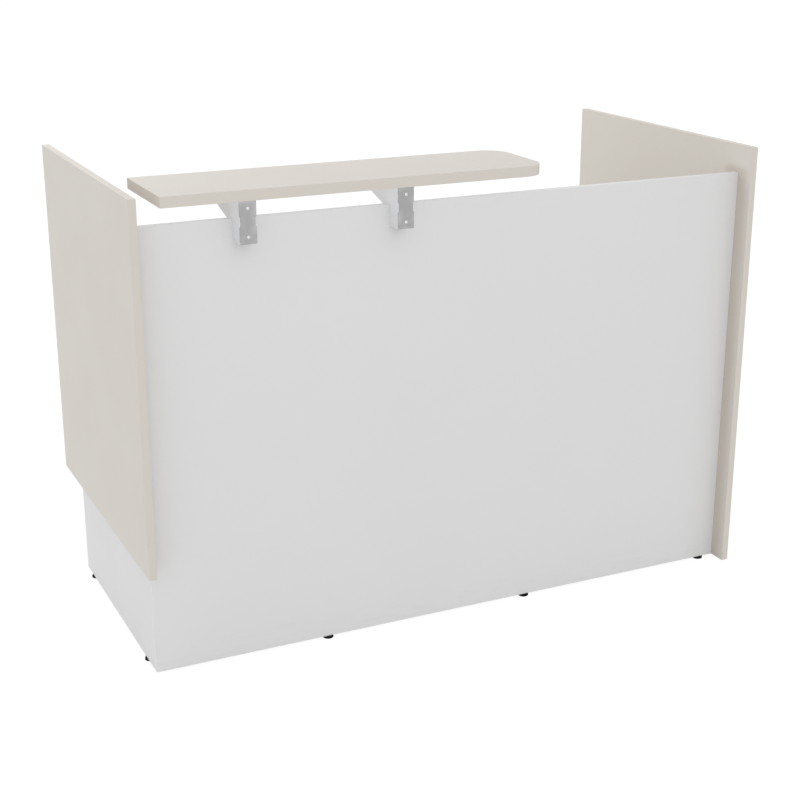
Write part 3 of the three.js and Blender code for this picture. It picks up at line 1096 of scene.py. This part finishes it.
def shank_hole(node: str, axis: Axis, radius: float) -> BMesh:
    """Give the hole that a fastener's shank needs.

    Args:
        node: The frame's fastener.
        axis: The axis that it lies along.
        radius: The shank's radius.

    Returns:
        The hole's mesh, a little larger than the shank and a little longer than the fastener.
    """
    low, high = box_of(node)
    half = (high - low)[axis.value] / 2 + HOLE_CLEARANCE
    reach = radius + HOLE_CLEARANCE
    mesh = revolve([(reach, -half), (reach, half)], HOLE_SIDES)
    mesh.transform(axis.turn((low + high) / 2))
    return mesh


def standing(node: str) -> Matrix:
    """Give the matrix that stands a turned piece upright in a node's box."""
    low, high = box_of(node)
    return Matrix.Translation(((low.x + high.x) / 2, (low.y + high.y) / 2, low.z))


@dataclass(frozen=True)
class ScrewSize:
    """The sizes of one sort of screw.

    Attributes:
        head_height: The height of its head.
        radius: The radius at its thread's crest.
        core: The radius at the thread's root.
        pitch: How far one turn climbs.
    """

    head_height: float
    radius: float
    core: float
    pitch: float = 0.0018


class ScrewKind(Enum):
    """The sorts of screw in the desk."""

    PLATE = ScrewSize(head_height=0.0016, radius=0.0025, core=0.0019)
    BOARD = ScrewSize(head_height=0.0020, radius=0.0020, core=0.0014)


@dataclass(frozen=True)
class Screw:
    """A pan-head screw with a cross recess, in the place of one of the frame's.

    Attributes:
        node: The frame's screw.
        head_radius: The radius of its head.
        crown_flat: The radius of the head's flat top.
        crown_height: The height of the round beside that.
        recess_length: How far the cross reaches from tip to tip.
        recess_width: How wide its arms are.
        recess_depth: How deep it is.
        head_sides: How many steps a turn of the screw has.
        crown_steps: How many steps the head's round has.
    """

    node: str
    head_radius: float = 0.004
    crown_flat: float = 0.0011
    crown_height: float = 0.0011
    recess_length: float = 0.0042
    recess_width: float = 0.0009
    recess_depth: float = 0.0010
    head_sides: int = 24
    crown_steps: int = 4

    @property
    def size(self) -> ScrewSize:
        """Give the sizes of this sort of screw."""
        on_plate = self.node.endswith(("upper_screw", "bracket_panel_screw"))
        return (ScrewKind.PLATE if on_plate else ScrewKind.BOARD).value

    @property
    def axis(self) -> Axis:
        """Give the axis that the screw lies along."""
        low, high = box_of(self.node)
        return max(Axis, key=lambda axis: (high - low)[axis.value])

    def outward(self) -> int:
        """Find which way along its axis the head faces.

        Returns:
            1 where it faces along the axis, -1 where it faces against it.
        """
        low, high = box_of(self.node)
        middle = (low + high) / 2
        along = self.axis.value
        heads = 0
        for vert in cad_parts[self.node].data.vertices:
            reach = vert.co - middle
            offset = reach[along]
            reach[along] = 0
            if reach.length > self.size.radius + TOUCH:
                heads += 1 if offset > 0 else -1
        return 1 if heads > 0 else -1

    def hole(self) -> BMesh:
        """Give the hole that the screw's shank needs."""
        return shank_hole(self.node, self.axis, self.size.radius)

    def build(self) -> None:
        """Make the screw where the frame holds it."""
        low, high = box_of(self.node)
        sign = self.outward()
        along = self.axis.value
        seat = (low + high) / 2
        seat[along] = (high if sign > 0 else low)[along] - sign * self.size.head_height
        length = (high - low)[along] - self.size.head_height
        mesh = self._shape(length)
        mesh.transform(self.axis.turn(seat, sign))
        add_piece(f"{self.node}_threaded", mesh, SCREW_ZINC, DESK, (self.node,))

    def _shape(self, length: float) -> BMesh:
        """Turn the shank and the head, and cut the recess.

        Args:
            length: The length from the head's seat to the tip.

        Returns:
            The screw with its head's seat at the origin and its tip below.
        """
        size = self.size
        flat = self.crown_flat
        drop = size.head_height - self.crown_height
        shank = thread_rows(size.core, size.pitch, -length, -size.pitch)
        seat = [(size.core, 0.0), (self.head_radius - TOUCH, 0.0), (self.head_radius, TOUCH)]
        dome = [
            (flat + (self.head_radius - flat) * x, drop + (size.head_height - drop) * y)
            for x, y in arc(1.0, (0.0, 0.0), QUARTER, 0.0, self.crown_steps)
        ]
        shape = helix(size.core, size.radius, size.pitch, -length, -size.pitch)
        profile = [*shank, *seat, *reversed(dome)]
        mesh = revolve(profile, self.head_sides, worn=[len(shank) + len(seat)], shape=shape)
        return carve(mesh, self._recess())

    def _recess(self) -> BMesh:
        """Shape the cross that the driver fits in.

        Returns:
            What is cut out of the head.
        """
        far = self.recess_length / 2
        near = self.recess_width / 2
        arm = [Vector((far, -near)), Vector((far, near)), Vector((near, near))]
        outline = [Matrix.Rotation(quarter * QUARTER, 2) @ point for quarter in range(4) for point in arm]
        top = self.size.head_height
        return prism(outline, Axis.Z, top - self.recess_depth, top + self.recess_depth)


@dataclass(frozen=True)
class Insert:
    """A ribbed sleeve with a collar, pressed into a board's lower edge.

    Attributes:
        node: The frame's sleeve.
        bore: The radius of its bore.
        sleeve: The radius over its ribs.
        collar: The radius of its collar.
        collar_height: The collar's height.
        rib_depth: How deep the grooves between its ribs are.
        ribs: How many ribs it has.
        chamfer: How far its edges are broken.
        sides: How many steps a turn of it has.
    """

    node: str
    bore: float = 0.0043
    sleeve: float = 0.0060
    collar: float = 0.0085
    collar_height: float = 0.0007
    rib_depth: float = 0.0003
    ribs: int = 12
    chamfer: float = 0.0002
    sides: int = 48

    def hole(self) -> BMesh:
        """Give the hole that the sleeve needs."""
        return shank_hole(self.node, Axis.Z, self.sleeve)

    def build(self) -> None:
        """Make the sleeve where the frame holds it."""
        low, high = box_of(self.node)
        length = (high - low).z
        rim = self.collar_height
        edge = self.chamfer
        profile = [
            (self.bore + edge, 0.0),
            (self.collar - edge, 0.0),
            (self.collar, edge),
            (self.collar, rim),
            (self.sleeve, rim),
            (self.sleeve, length - 2 * edge),
            (self.sleeve - 2 * edge, length),
            (self.bore, length),
            (self.bore, edge),
        ]

        def ribbed(radius: float, height: float, angle: float) -> float:
            """Roll ribs along the sleeve, above its collar."""
            on_sleeve = abs(radius - self.sleeve) < TOUCH and height > rim
            return radius - self.rib_depth * wave(angle, self.ribs) if on_sleeve else radius

        mesh = revolve(profile, self.sides, closed=True, worn=(1, 2), shape=ribbed)
        mesh.transform(standing(self.node))
        add_piece(f"{self.node}_ribbed", mesh, FOOT_ZINC, DESK, (self.node,))


def fasteners_in(node: str) -> list[Screw | Insert]:
    """List the screws and sleeves that reach into a node's box.

    Args:
        node: The frame's board or steel.

    Returns:
        Its fasteners, in the frame's order.
    """
    low, high = box_of(node)
    found: list[Screw | Insert] = []
    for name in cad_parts:
        if "screw" not in name and not name.endswith("_insert"):
            continue
        start, end = box_of(name)
        if all(start[i] < high[i] - TOUCH and end[i] > low[i] + TOUCH for i in range(len(Axis))):
            found.append(Insert(name) if name.endswith("_insert") else Screw(name))
    return found


def drill(mesh: BMesh, node: str) -> BMesh:
    """Cut the holes that a node's fasteners need."""
    return carve(mesh, join([fastener.hole() for fastener in fasteners_in(node)]))


# Boards


SQUARE_CORNER = 0.0013
SHELF_ROUND = 0.060


@dataclass(frozen=True)
class RimPoint:
    """A point on a board's rim, on the round of one of its corners.

    Attributes:
        centre: The middle of that round.
        facing: Which way the rim faces there.
        radius: The round's radius.
        arris: How far the rim's edges are rounded there.
    """

    centre: Vector
    facing: Vector
    radius: float
    arris: float

    def inset(self, depth: float) -> Vector:
        """Give the point that lies so deep inside the rim."""
        return self.centre + self.facing * (self.radius - depth)


@dataclass(frozen=True)
class Board:
    """A faced board with an edging strip all round.

    Attributes:
        corner_sides: Whether each corner, anticlockwise, lies at the high side of the board's two long axes.
        node: The frame's board.
        facing: The finish of its two faces.
        edging: The finish of the strip.
        strip: The strip's thickness.
        seam: How far the joint between facing and strip is broken.
        arris: How far the strip's edges are rounded.
        corners: The radius of each corner, anticlockwise from the lowest.
        butted: Which corners meet another board, so that their arris stays square.
        shades: Whether it holds the sky's soft light back from what is under and beside it.
        square_arris: How far the edges are rounded at a butted corner.
        support: How far beyond its arris the strip's flat has a row of points.
        arris_steps: How many steps an arris or a small corner has.
        large_round: The radius above which a corner is large.
        large_steps: How many steps a large corner has.
    """

    corner_sides: ClassVar[tuple[tuple[bool, bool], ...]] = (
        (False, False),
        (True, False),
        (True, True),
        (False, True),
    )
    node: str
    facing: BoardFinish
    edging: BoardFinish
    strip: float = 0.0010
    seam: float = 0.0001
    arris: float = 0.0005
    corners: tuple[float, float, float, float] = (SQUARE_CORNER,) * 4
    butted: tuple[int, ...] = ()
    shades: bool = True
    square_arris: float = 0.00005
    support: float = 0.0003
    arris_steps: int = 4
    large_round: float = 0.01
    large_steps: int = 24

    @property
    def axis(self) -> Axis:
        """Give the axis across the board's thickness."""
        low, high = box_of(self.node)
        return min(Axis, key=lambda axis: (high - low)[axis.value])

    def rim(self) -> list[RimPoint]:
        """Go round the board's rim.

        Returns:
            Its points, anticlockwise.
        """
        low, high = box_of(self.node)
        across, over = self.axis.others
        points = []
        for corner, (right, up) in enumerate(self.corner_sides):
            radius = self.corners[corner]
            centre = Vector((
                high[across] - radius if right else low[across] + radius,
                high[over] - radius if up else low[over] + radius,
            ))
            steps = self.large_steps if radius > self.large_round else self.arris_steps
            arris = self.square_arris if corner in self.butted else self.arris
            for step in range(steps + 1):
                angle = math.pi + (corner + step / steps) * QUARTER
                facing = Vector((math.cos(angle), math.sin(angle)))
                points.append(RimPoint(centre, facing, radius, arris))
        return points

    def section(self, arris: float, thickness: float) -> tuple[list[Pair], list[int]]:
        """Give the strip's section.

        Args:
            arris: How far its edges are rounded.
            thickness: The board's thickness.

        Returns:
            Points as depth inside the rim and height over the board's lower face, and which of them lie on
            an arris.
        """
        lower = arc(arris, (arris, arris), 3 * QUARTER, 2 * QUARTER, self.arris_steps)
        joint = [(self.strip, self.seam), (self.strip - self.seam, 0.0)]
        half = [*joint, *lower, (0.0, arris + self.support)]
        points = half + [(depth, thickness - height) for depth, height in reversed(half)]
        rounds = range(len(joint), len(joint) + len(lower))
        return points, [*rounds, *(len(points) - 1 - i for i in rounds)]

    def build(self) -> None:
        """Make the board's core and its strip."""
        low, high = box_of(self.node)
        base = low[self.axis.value]
        thickness = high[self.axis.value] - base
        rim = self.rim()

        def ring(depths: Sequence[float], heights: Sequence[float]) -> list[Vector]:
            """Give one ring, with a depth and a height for each point of the rim."""
            inner = [point.inset(depth) for point, depth in zip(rim, depths)]
            return [self.axis.point(p.x, p.y, base + height) for p, height in zip(inner, heights)]

        deep = self.strip + self.seam
        steps = [
            (deep, 0.0),
            (self.strip, self.seam),
            (self.strip, thickness - self.seam),
            (deep, thickness),
        ]
        core = loft([ring([depth] * len(rim), [height] * len(rim)) for depth, height in steps])
        sections = [self.section(point.arris, thickness)[0] for point in rim]
        worn = self.section(self.arris, thickness)[1]
        rings = []
        for places in zip(*sections):
            depths, heights = zip(*places)
            rings.append(ring(depths, heights))
        strip = loft(rings, closed=True, worn=worn)
        faces = add_piece(f"{self.node}_faces", drill(core, self.node), self.facing, DESK, (self.node,))
        edging = add_piece(f"{self.node}_edging", drill(strip, self.node), self.edging, DESK)
        faces.visible_diffuse = self.shades
        edging.visible_diffuse = self.shades


# Steelwork


@dataclass(frozen=True)
class Angle:
    """A rolled steel angle, with its bend in the corner between two boards.

    Attributes:
        node: The frame's angle.
        run: The axis that it runs along.
        corner: Whether its bend is at the high side of each of the two axes that follow the run.
        sheet: The thickness of its legs.
        outer_bend: The radius outside its bend.
        inner_bend: The radius inside it.
        tip_round: The radius at the legs' tips.
        chamfer: How far its ends are broken.
        steps: How many steps each round has.
    """

    node: str
    run: Axis
    corner: tuple[bool, bool]
    sheet: float = 0.003
    outer_bend: float = 0.0035
    inner_bend: float = 0.0012
    tip_round: float = 0.0012
    chamfer: float = 0.0004
    steps: int = 5

    def build(self) -> None:
        """Make the angle and cut its holes."""
        low, high = box_of(self.node)
        across, over = self.run.others
        far = high[across] - low[across]
        tall = high[over] - low[over]
        tip = self.tip_round
        corners = [
            (0.0, 0.0, self.outer_bend),
            (far, 0.0, tip),
            (far, self.sheet, tip),
            (self.sheet, self.sheet, self.inner_bend),
            (self.sheet, tall, tip),
            (0.0, tall, tip),
        ]
        placed = [(self._from_bend(0, a), self._from_bend(1, b), radius) for a, b, radius in corners]
        if self.corner[0] != self.corner[1]:
            placed.reverse()
        outline = round_corners(placed, self.steps)
        mesh = prism(outline, self.run, low[self.run.value], high[self.run.value], self.chamfer)
        add_piece(f"{self.node}_rolled", drill(mesh, self.node), ANGLE_ZINC, DESK, (self.node,))

    def _from_bend(self, side: int, distance: float) -> float:
        """Measure a distance from the bend's corner.

        Args:
            side: 0 to go along the axis after the run, 1 along the one after that.
            distance: How far to go.

        Returns:
            The place on that axis.
        """
        low, high = box_of(self.node)
        axis = self.run.others[side]
        return high[axis] - distance if self.corner[side] else low[axis] + distance


class Side(Enum):
    """Where a bracket stands, as the visitor sees it."""

    LEFT = "left"
    RIGHT = "right"


@dataclass(frozen=True)
class Bracket:
    """A shelf bracket: a folded arm that straddles the front panel, and a waisted plate on its front.

    Attributes:
        side: Which of the two it is.
        sheet: The thickness of the arm's sheet.
        bend: The radius between the arm's web and its front wall.
        fold: The radius between those and its cheeks.
        bend_steps: How many steps each bend and round of the arm has.
        hook: How far the arm reaches down behind the panel.
        tip_height: The height of its rear tip.
        clearance: The gap between the arm and the panel's rear face.
        cut_round: The radius of its outer cut corners.
        slot_round: The radius in the slot over the panel.
        waist_height: The height of the plate's waist.
        waist_depth: How far the waist is drawn in.
        waist_slope: The height of the slope into it.
        plate_round: The radius of the plate's corners.
        plate_chamfer: How far the plate's edges are broken.
        overshoot: How far the room between the cheeks is cut past the sheet's ends.
    """

    side: Side
    sheet: float = 0.002
    bend: float = 0.0034
    fold: float = 0.0027
    bend_steps: int = 4
    hook: float = 0.0095
    tip_height: float = 0.005
    clearance: float = 0.0003
    cut_round: float = 0.0020
    slot_round: float = 0.0010
    waist_height: float = 0.022
    waist_depth: float = 0.0025
    waist_slope: float = 0.0030
    plate_round: float = 0.0012
    plate_chamfer: float = 0.0003
    overshoot: float = 0.001

    def build(self) -> None:
        """Make the arm and the plate."""
        self._build_arm(f"{self.side.value}_bracket_arm")
        self._build_plate(f"{self.side.value}_bracket_plate")

    def _build_arm(self, node: str) -> None:
        """Fold the arm's front wall, web and two cheeks.

        Args:
            node: The frame's arm.
        """
        low, high = box_of(node)
        panel_low, panel_high = box_of("front_panel")
        behind = panel_high.y + self.clearance
        outline = round_corners([
            (low.y, low.z, 0),
            (panel_low.y, low.z, self.cut_round),
            (panel_low.y, panel_high.z, self.slot_round),
            (behind, panel_high.z, self.slot_round),
            (behind, panel_high.z - self.hook, self.cut_round),
            (high.y, high.z - self.tip_height, self.cut_round),
            (high.y, high.z, 0),
            (low.y, high.z, self.bend),
        ], self.bend_steps)
        solid = self._folded(outline, low, high, self.bend, self.fold)
        room_low = Vector((low.x + self.sheet, low.y + self.sheet, low.z - self.overshoot))
        room_high = Vector((high.x - self.sheet, high.y + self.overshoot, high.z - self.sheet))
        room_bend = self.bend - self.sheet
        room_outline = round_corners([
            (room_low.y, room_low.z, 0),
            (room_high.y, room_low.z, 0),
            (room_high.y, room_high.z, 0),
            (room_low.y, room_high.z, room_bend),
        ], self.bend_steps)
        room = self._folded(room_outline, room_low, room_high, room_bend, self.fold - self.sheet)
        add_piece(f"{node}_folded", drill(carve(solid, room), node), ARM_COAT, DESK, (node,))

    def _folded(
        self,
        outline: Sequence[Vector],
        low: Vector,
        high: Vector,
        bend: float,
        fold: float,
    ) -> BMesh:
        """Extrude a side view and round its two long edges along the web and the front wall.

        Args:
            outline: The side view, on Y and Z.
            low: Its lowest corner.
            high: Its highest corner.
            bend: The radius between web and front wall.
            fold: The radius between those and the cheeks.

        Returns:
            The rounded block.
        """
        centre = Vector((low.y + bend, high.z - bend))

        def lean(point: Vector) -> Vector:
            """Find which way a point of the side view moves as the fold turns in.

            Args:
                point: The point, on Y and Z.

            Returns:
                The way it moves, of length 0 for a point that stays.
            """
            on_front = abs(point.x - low.y) < TOUCH
            on_web = abs(point.y - high.z) < TOUCH
            if point.x < centre.x - TOUCH and point.y > centre.y + TOUCH:
                return (centre - point).normalized()
            return Vector((1.0 if on_front else 0.0, -1.0 if on_web else 0.0))

        turns = [QUARTER * i / self.bend_steps for i in range(self.bend_steps + 1)]
        steps = [(low.x + fold * (1 - math.sin(t)), fold * (1 - math.cos(t))) for t in reversed(turns)]
        steps += [(high.x - fold * (1 - math.sin(t)), fold * (1 - math.cos(t))) for t in turns]
        rings = []
        for along, depth in steps:
            moved = [point + lean(point) * depth for point in outline]
            rings.append([Axis.X.point(p.x, p.y, along) for p in moved])
        return loft(rings)

    def _build_plate(self, node: str) -> None:
        """Stamp the plate with its narrow waist.

        Args:
            node: The frame's plate.
        """
        low, high = box_of(node)
        level = box_of("front_panel")[1].z
        half = self.waist_height / 2
        slope = self.waist_slope / 2
        steps = [(low.z, 0.0), (level - half - slope, 0.0), (level - half + slope, self.waist_depth)]
        steps += [(level + half - slope, self.waist_depth), (level + half + slope, 0.0), (high.z, 0.0)]
        left = [(z, low.x + depth, self.plate_round) for z, depth in steps]
        right = [(z, high.x - depth, self.plate_round) for z, depth in reversed(steps)]
        mesh = prism(round_corners(left + right), Axis.Y, low.y, high.y, self.plate_chamfer)
        add_piece(f"{node}_stamped", drill(mesh, node), PLATE_COAT, DESK, (node,))


# Feet


@dataclass(frozen=True)
class LevellingFoot:
    """A fluted pad on a threaded spindle that screws into its sleeve.

    Attributes:
        name: The foot's name, which its body bears.
        flutes: How many flutes the pad's rim has.
        flute_depth: How deep they are.
        pad_round: The radius of the pad's edges.
        tread_ring: The radius of the hollow under the pad.
        tread_depth: How deep that hollow is.
        socket: The radius of the socket for the spindle.
        socket_depth: How deep it is.
        pad_sides: How many steps a turn of the pad has.
        round_steps: How many steps its rounded edges have.
        pitch: How far one turn of the spindle climbs.
        thread_depth: How deep its thread is.
        neck_height: The height of its plain neck.
        spindle_sides: How many steps a turn of the spindle has.
        tip_chamfer: How far its tip is broken.
    """

    name: str
    flutes: int = 20
    flute_depth: float = 0.0005
    pad_round: float = 0.0012
    tread_ring: float = 0.0085
    tread_depth: float = 0.0005
    socket: float = 0.0043
    socket_depth: float = 0.003
    pad_sides: int = 120
    round_steps: int = 4
    pitch: float = 0.00125
    thread_depth: float = 0.0007
    neck_height: float = 0.0030
    spindle_sides: int = 24
    tip_chamfer: float = 0.0008

    def build(self) -> None:
        """Make the pad, the spindle and the sleeve."""
        self._build_pad(f"{self.name}_pad")
        self._build_spindle(f"{self.name}_spindle")
        Insert(f"{self.name}_insert").build()

    def _build_pad(self, node: str) -> None:
        """Mould the pad with a fluted rim and a tread ring.

        Args:
            node: The frame's pad.
        """
        low, high = box_of(node)
        radius = (high.x - low.x) / 2
        height = high.z - low.z
        edge = self.pad_round
        side = radius - edge
        tread = [(self.tread_ring, self.tread_depth), (self.tread_ring + self.tread_depth, 0.0)]
        rounds = arc(edge, (side, edge), -QUARTER, 0.0, self.round_steps)
        rounds += arc(edge, (side, height - edge), 0.0, QUARTER, self.round_steps)
        socket = [(self.socket, height), (self.socket, height - self.socket_depth)]
        worn = range(len(tread), len(tread) + len(rounds))

        def fluted(rim: float, _level: float, angle: float) -> float:
            """Press the flutes into the rim, and fade them out over its rounds."""
            share = max(0.0, (rim - side) / edge)
            return rim - self.flute_depth * share * wave(angle, self.flutes) ** 2

        mesh = revolve([*tread, *rounds, *socket], self.pad_sides, worn=worn, shape=fluted)
        mesh.transform(standing(node))
        add_piece(f"{node}_moulded", mesh, FOOT_PLASTIC, self.name, (node,))

    def _build_spindle(self, node: str) -> None:
        """Cut the spindle's thread above its plain neck.

        Args:
            node: The frame's spindle.
        """
        low, high = box_of(node)
        radius = (high.x - low.x) / 2
        length = high.z - low.z
        core = radius - self.thread_depth
        top = length - self.tip_chamfer
        edge = self.tip_chamfer / 2
        neck = [(radius - edge, 0.0), (radius, edge), (radius, self.neck_height - TOUCH)]
        thread = thread_rows(core, self.pitch, self.neck_height, top)
        shape = helix(core, radius, self.pitch, self.neck_height, top)
        profile = [*neck, *thread, (core - self.tip_chamfer, length)]
        mesh = revolve(profile, self.spindle_sides, worn=(0, 1), shape=shape)
        mesh.transform(standing(node))
        add_piece(f"{node}_threaded", mesh, FOOT_ZINC, f"{self.name}_screw", (node,))


# Studio


def grey(level: float) -> Colour:
    """Give a grey of one level."""
    return level, level, level


@dataclass(frozen=True)
class Viewpoint:
    """Where the camera stands and how long its lens is.

    Attributes:
        place: Its place in the frame.
        tilt: How far it looks down.
        pan: How far it turns to the right of +Y.
        focal: Its focal length, in picture widths.
        sensor: The width of its sensor, in millimetres.
        offset: How far the picture's middle lies right of and above the lens's axis, in picture widths.
    """

    place: Triple = (-1.6247, -3.4687, 1.7528)
    tilt: float = math.radians(18.581)
    pan: float = math.radians(25.184)
    focal: float = 1.8742
    sensor: float = 36.0
    offset: Pair = (-0.000625, 0.000625)

    def build(self) -> None:
        """Make the camera."""
        data = bpy.data.cameras.new("viewpoint")
        data.sensor_width = self.sensor
        data.lens = self.focal * self.sensor
        data.shift_x, data.shift_y = self.offset
        camera = bpy.data.objects.new("viewpoint", data)
        camera.location = self.place
        camera.rotation_euler = (QUARTER - self.tilt, 0.0, -self.pan)
        bpy.context.scene.collection.objects.link(camera)
        bpy.context.scene.camera = camera


@dataclass(frozen=True)
class Lamp:
    """A large square soft box that faces the desk.

    Attributes:
        name: The lamp's name.
        azimuth: How far it stands to the right of the desk's front, in degrees.
        elevation: How far it stands above level, in degrees.
        distance: How far it stands from its target.
        size: The length of its sides.
        power: Its power, in watts.
        target: What it faces.
    """

    name: str
    azimuth: float
    elevation: float
    distance: float
    size: float
    power: float
    target: Triple = (0.0, 0.0, 0.6)

    def build(self) -> None:
        """Hang the lamp."""
        data = bpy.data.lights.new(self.name, "AREA")
        data.shape = "SQUARE"
        data.size = self.size
        data.energy = self.power
        turn = math.radians(self.azimuth)
        rise = math.radians(self.elevation)
        back = Vector((math.sin(turn) * math.cos(rise), -math.cos(turn) * math.cos(rise), math.sin(rise)))
        lamp = bpy.data.objects.new(self.name, data)
        lamp.location = Vector(self.target) + back * self.distance
        lamp.rotation_euler = back.to_track_quat("Z", "Y").to_euler()
        bpy.context.scene.collection.objects.link(lamp)


FRONT_LAMP = Lamp("front lamp", azimuth=-12.0, elevation=14.0, distance=4.5, size=3.6, power=11.5)
BACK_LAMP = Lamp("back lamp", azimuth=-155.0, elevation=44.0, distance=3.0, size=2.0, power=16.0)


@dataclass(frozen=True)
class Studio:
    """A pale floor under an even white sky, with large soft lamps.

    Attributes:
        floor_radius: The floor's radius.
        floor_sides: How many sides it has.
        floor_colour: Its colour to the light that it throws back on the desk.
        shadow_share: The share of what the camera sees of it that follows its light and shadow.
        clear_share: The share of what lies behind it that the camera sees through it.
        sky: How strongly the sky lights the desk.
        sky_colour: The colour of the sky and its light.
        lamps: The lamps.
    """

    floor_radius: float = 60.0
    floor_sides: int = 64
    floor_colour: Colour = (0.90, 0.90, 0.90)
    shadow_share: float = 0.16
    clear_share: float = 0.90
    sky: float = 0.872
    sky_colour: Colour = (1.0, 1.0, 1.0)
    lamps: tuple[Lamp, ...] = (FRONT_LAMP, BACK_LAMP)

    def build(self) -> None:
        """Make the floor, the sky and the lamps, and set the plain view."""
        self._build_floor()
        self._build_sky()
        for lamp in self.lamps:
            lamp.build()
        bpy.context.scene.view_settings.view_transform = "Standard"

    @staticmethod
    def _seen(graph: Graph) -> Socket:
        """Tell a ray that shows the stage itself from one that lights the desk.

        Args:
            graph: The floor's or the sky's tree.

        Returns:
            1 for a ray that shows the stage, 0 for any other.
        """
        rays = graph.add("ShaderNodeLightPath").outputs
        mirrored = graph.math("MAXIMUM", rays["Is Glossy Ray"], rays["Is Transmission Ray"])
        return graph.math("MAXIMUM", rays["Is Camera Ray"], mirrored)

    def _build_floor(self) -> None:
        """Lay a floor that shows white, keeps a soft shadow and hides nothing that reaches below it."""
        mesh = bmesh.new()
        bmesh.ops.create_circle(mesh, cap_ends=True, segments=self.floor_sides, radius=self.floor_radius)
        floor = object_of("floor", mesh)
        material = bpy.data.materials.new("Pale floor")
        material.use_nodes = True
        graph = Graph(material.node_tree)
        lit = graph.add("ShaderNodeBsdfDiffuse", {"Color": self.floor_colour})
        shade = graph.add("ShaderNodeBsdfDiffuse", {"Color": grey(self.shadow_share)})
        clear = graph.add("ShaderNodeBsdfTransparent", {"Color": grey(self.clear_share)})
        shown = graph.add("ShaderNodeAddShader", {0: shade.outputs[0], 1: clear.outputs[0]})
        top = graph.either(self._seen(graph), lit, shown)
        under = graph.add("ShaderNodeBsdfTransparent")
        behind = graph.add("ShaderNodeNewGeometry").outputs["Backfacing"]
        whole = graph.either(behind, top, under)
        graph.add("ShaderNodeOutputMaterial", {"Surface": whole.outputs[0]})
        floor.data.materials.append(material)

    def _build_sky(self) -> None:
        """Light the desk evenly, and show plain white behind it."""
        world = bpy.data.worlds.new("White sky")
        world.use_nodes = True
        graph = Graph(world.node_tree)
        light = graph.add("ShaderNodeBackground", {"Color": self.sky_colour, "Strength": self.sky})
        white = graph.add("ShaderNodeBackground", {"Color": self.sky_colour, "Strength": 1.0})
        sky = graph.either(self._seen(graph), light, white)
        graph.add("ShaderNodeOutputWorld", {"Surface": sky.outputs[0]})
        bpy.context.scene.world = world


# The desk


BOARDS = (
    Board("front_panel", WHITE_FACING, WHITE_EDGING),
    Board("left_leg_panel", WHITE_FACING, WHITE_EDGING, butted=(0, 3)),
    Board("left_end_panel", CREAM_FACING, CREAM_EDGING),
    Board("right_end_panel", CREAM_FACING, CREAM_EDGING),
    Board("worktop", CREAM_FACING, CREAM_EDGING),
    Board(
        "counter_shelf",
        CREAM_FACING,
        CREAM_EDGING,
        corners=(SQUARE_CORNER, SHELF_ROUND, SHELF_ROUND, SQUARE_CORNER),
        shades=False,
    ),
)
ANGLES = (
    Angle("front_rail", Axis.X, (False, True)),
    Angle("right_rail", Axis.Y, (True, True)),
    Angle("leg_corner_angle", Axis.Z, (False, False)),
    Angle("end_corner_angle", Axis.Z, (True, False)),
    Angle("upper_corner_angle", Axis.Z, (False, False)),
)
BRACKETS = (Bracket(Side.LEFT), Bracket(Side.RIGHT))


def main() -> None:
    """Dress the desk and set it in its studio."""
    logging.basicConfig(level=logging.INFO, format="%(name)s %(message)s")
    Viewpoint().build()
    Studio().build()
    for part in (*BOARDS, *ANGLES, *BRACKETS):
        part.build()
    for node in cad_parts:
        if "screw" in node:
            Screw(node).build()
    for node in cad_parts:
        if node.endswith("_pad"):
            LevellingFoot(node.removesuffix("_pad")).build()


if __name__ == "__main__":
    main()
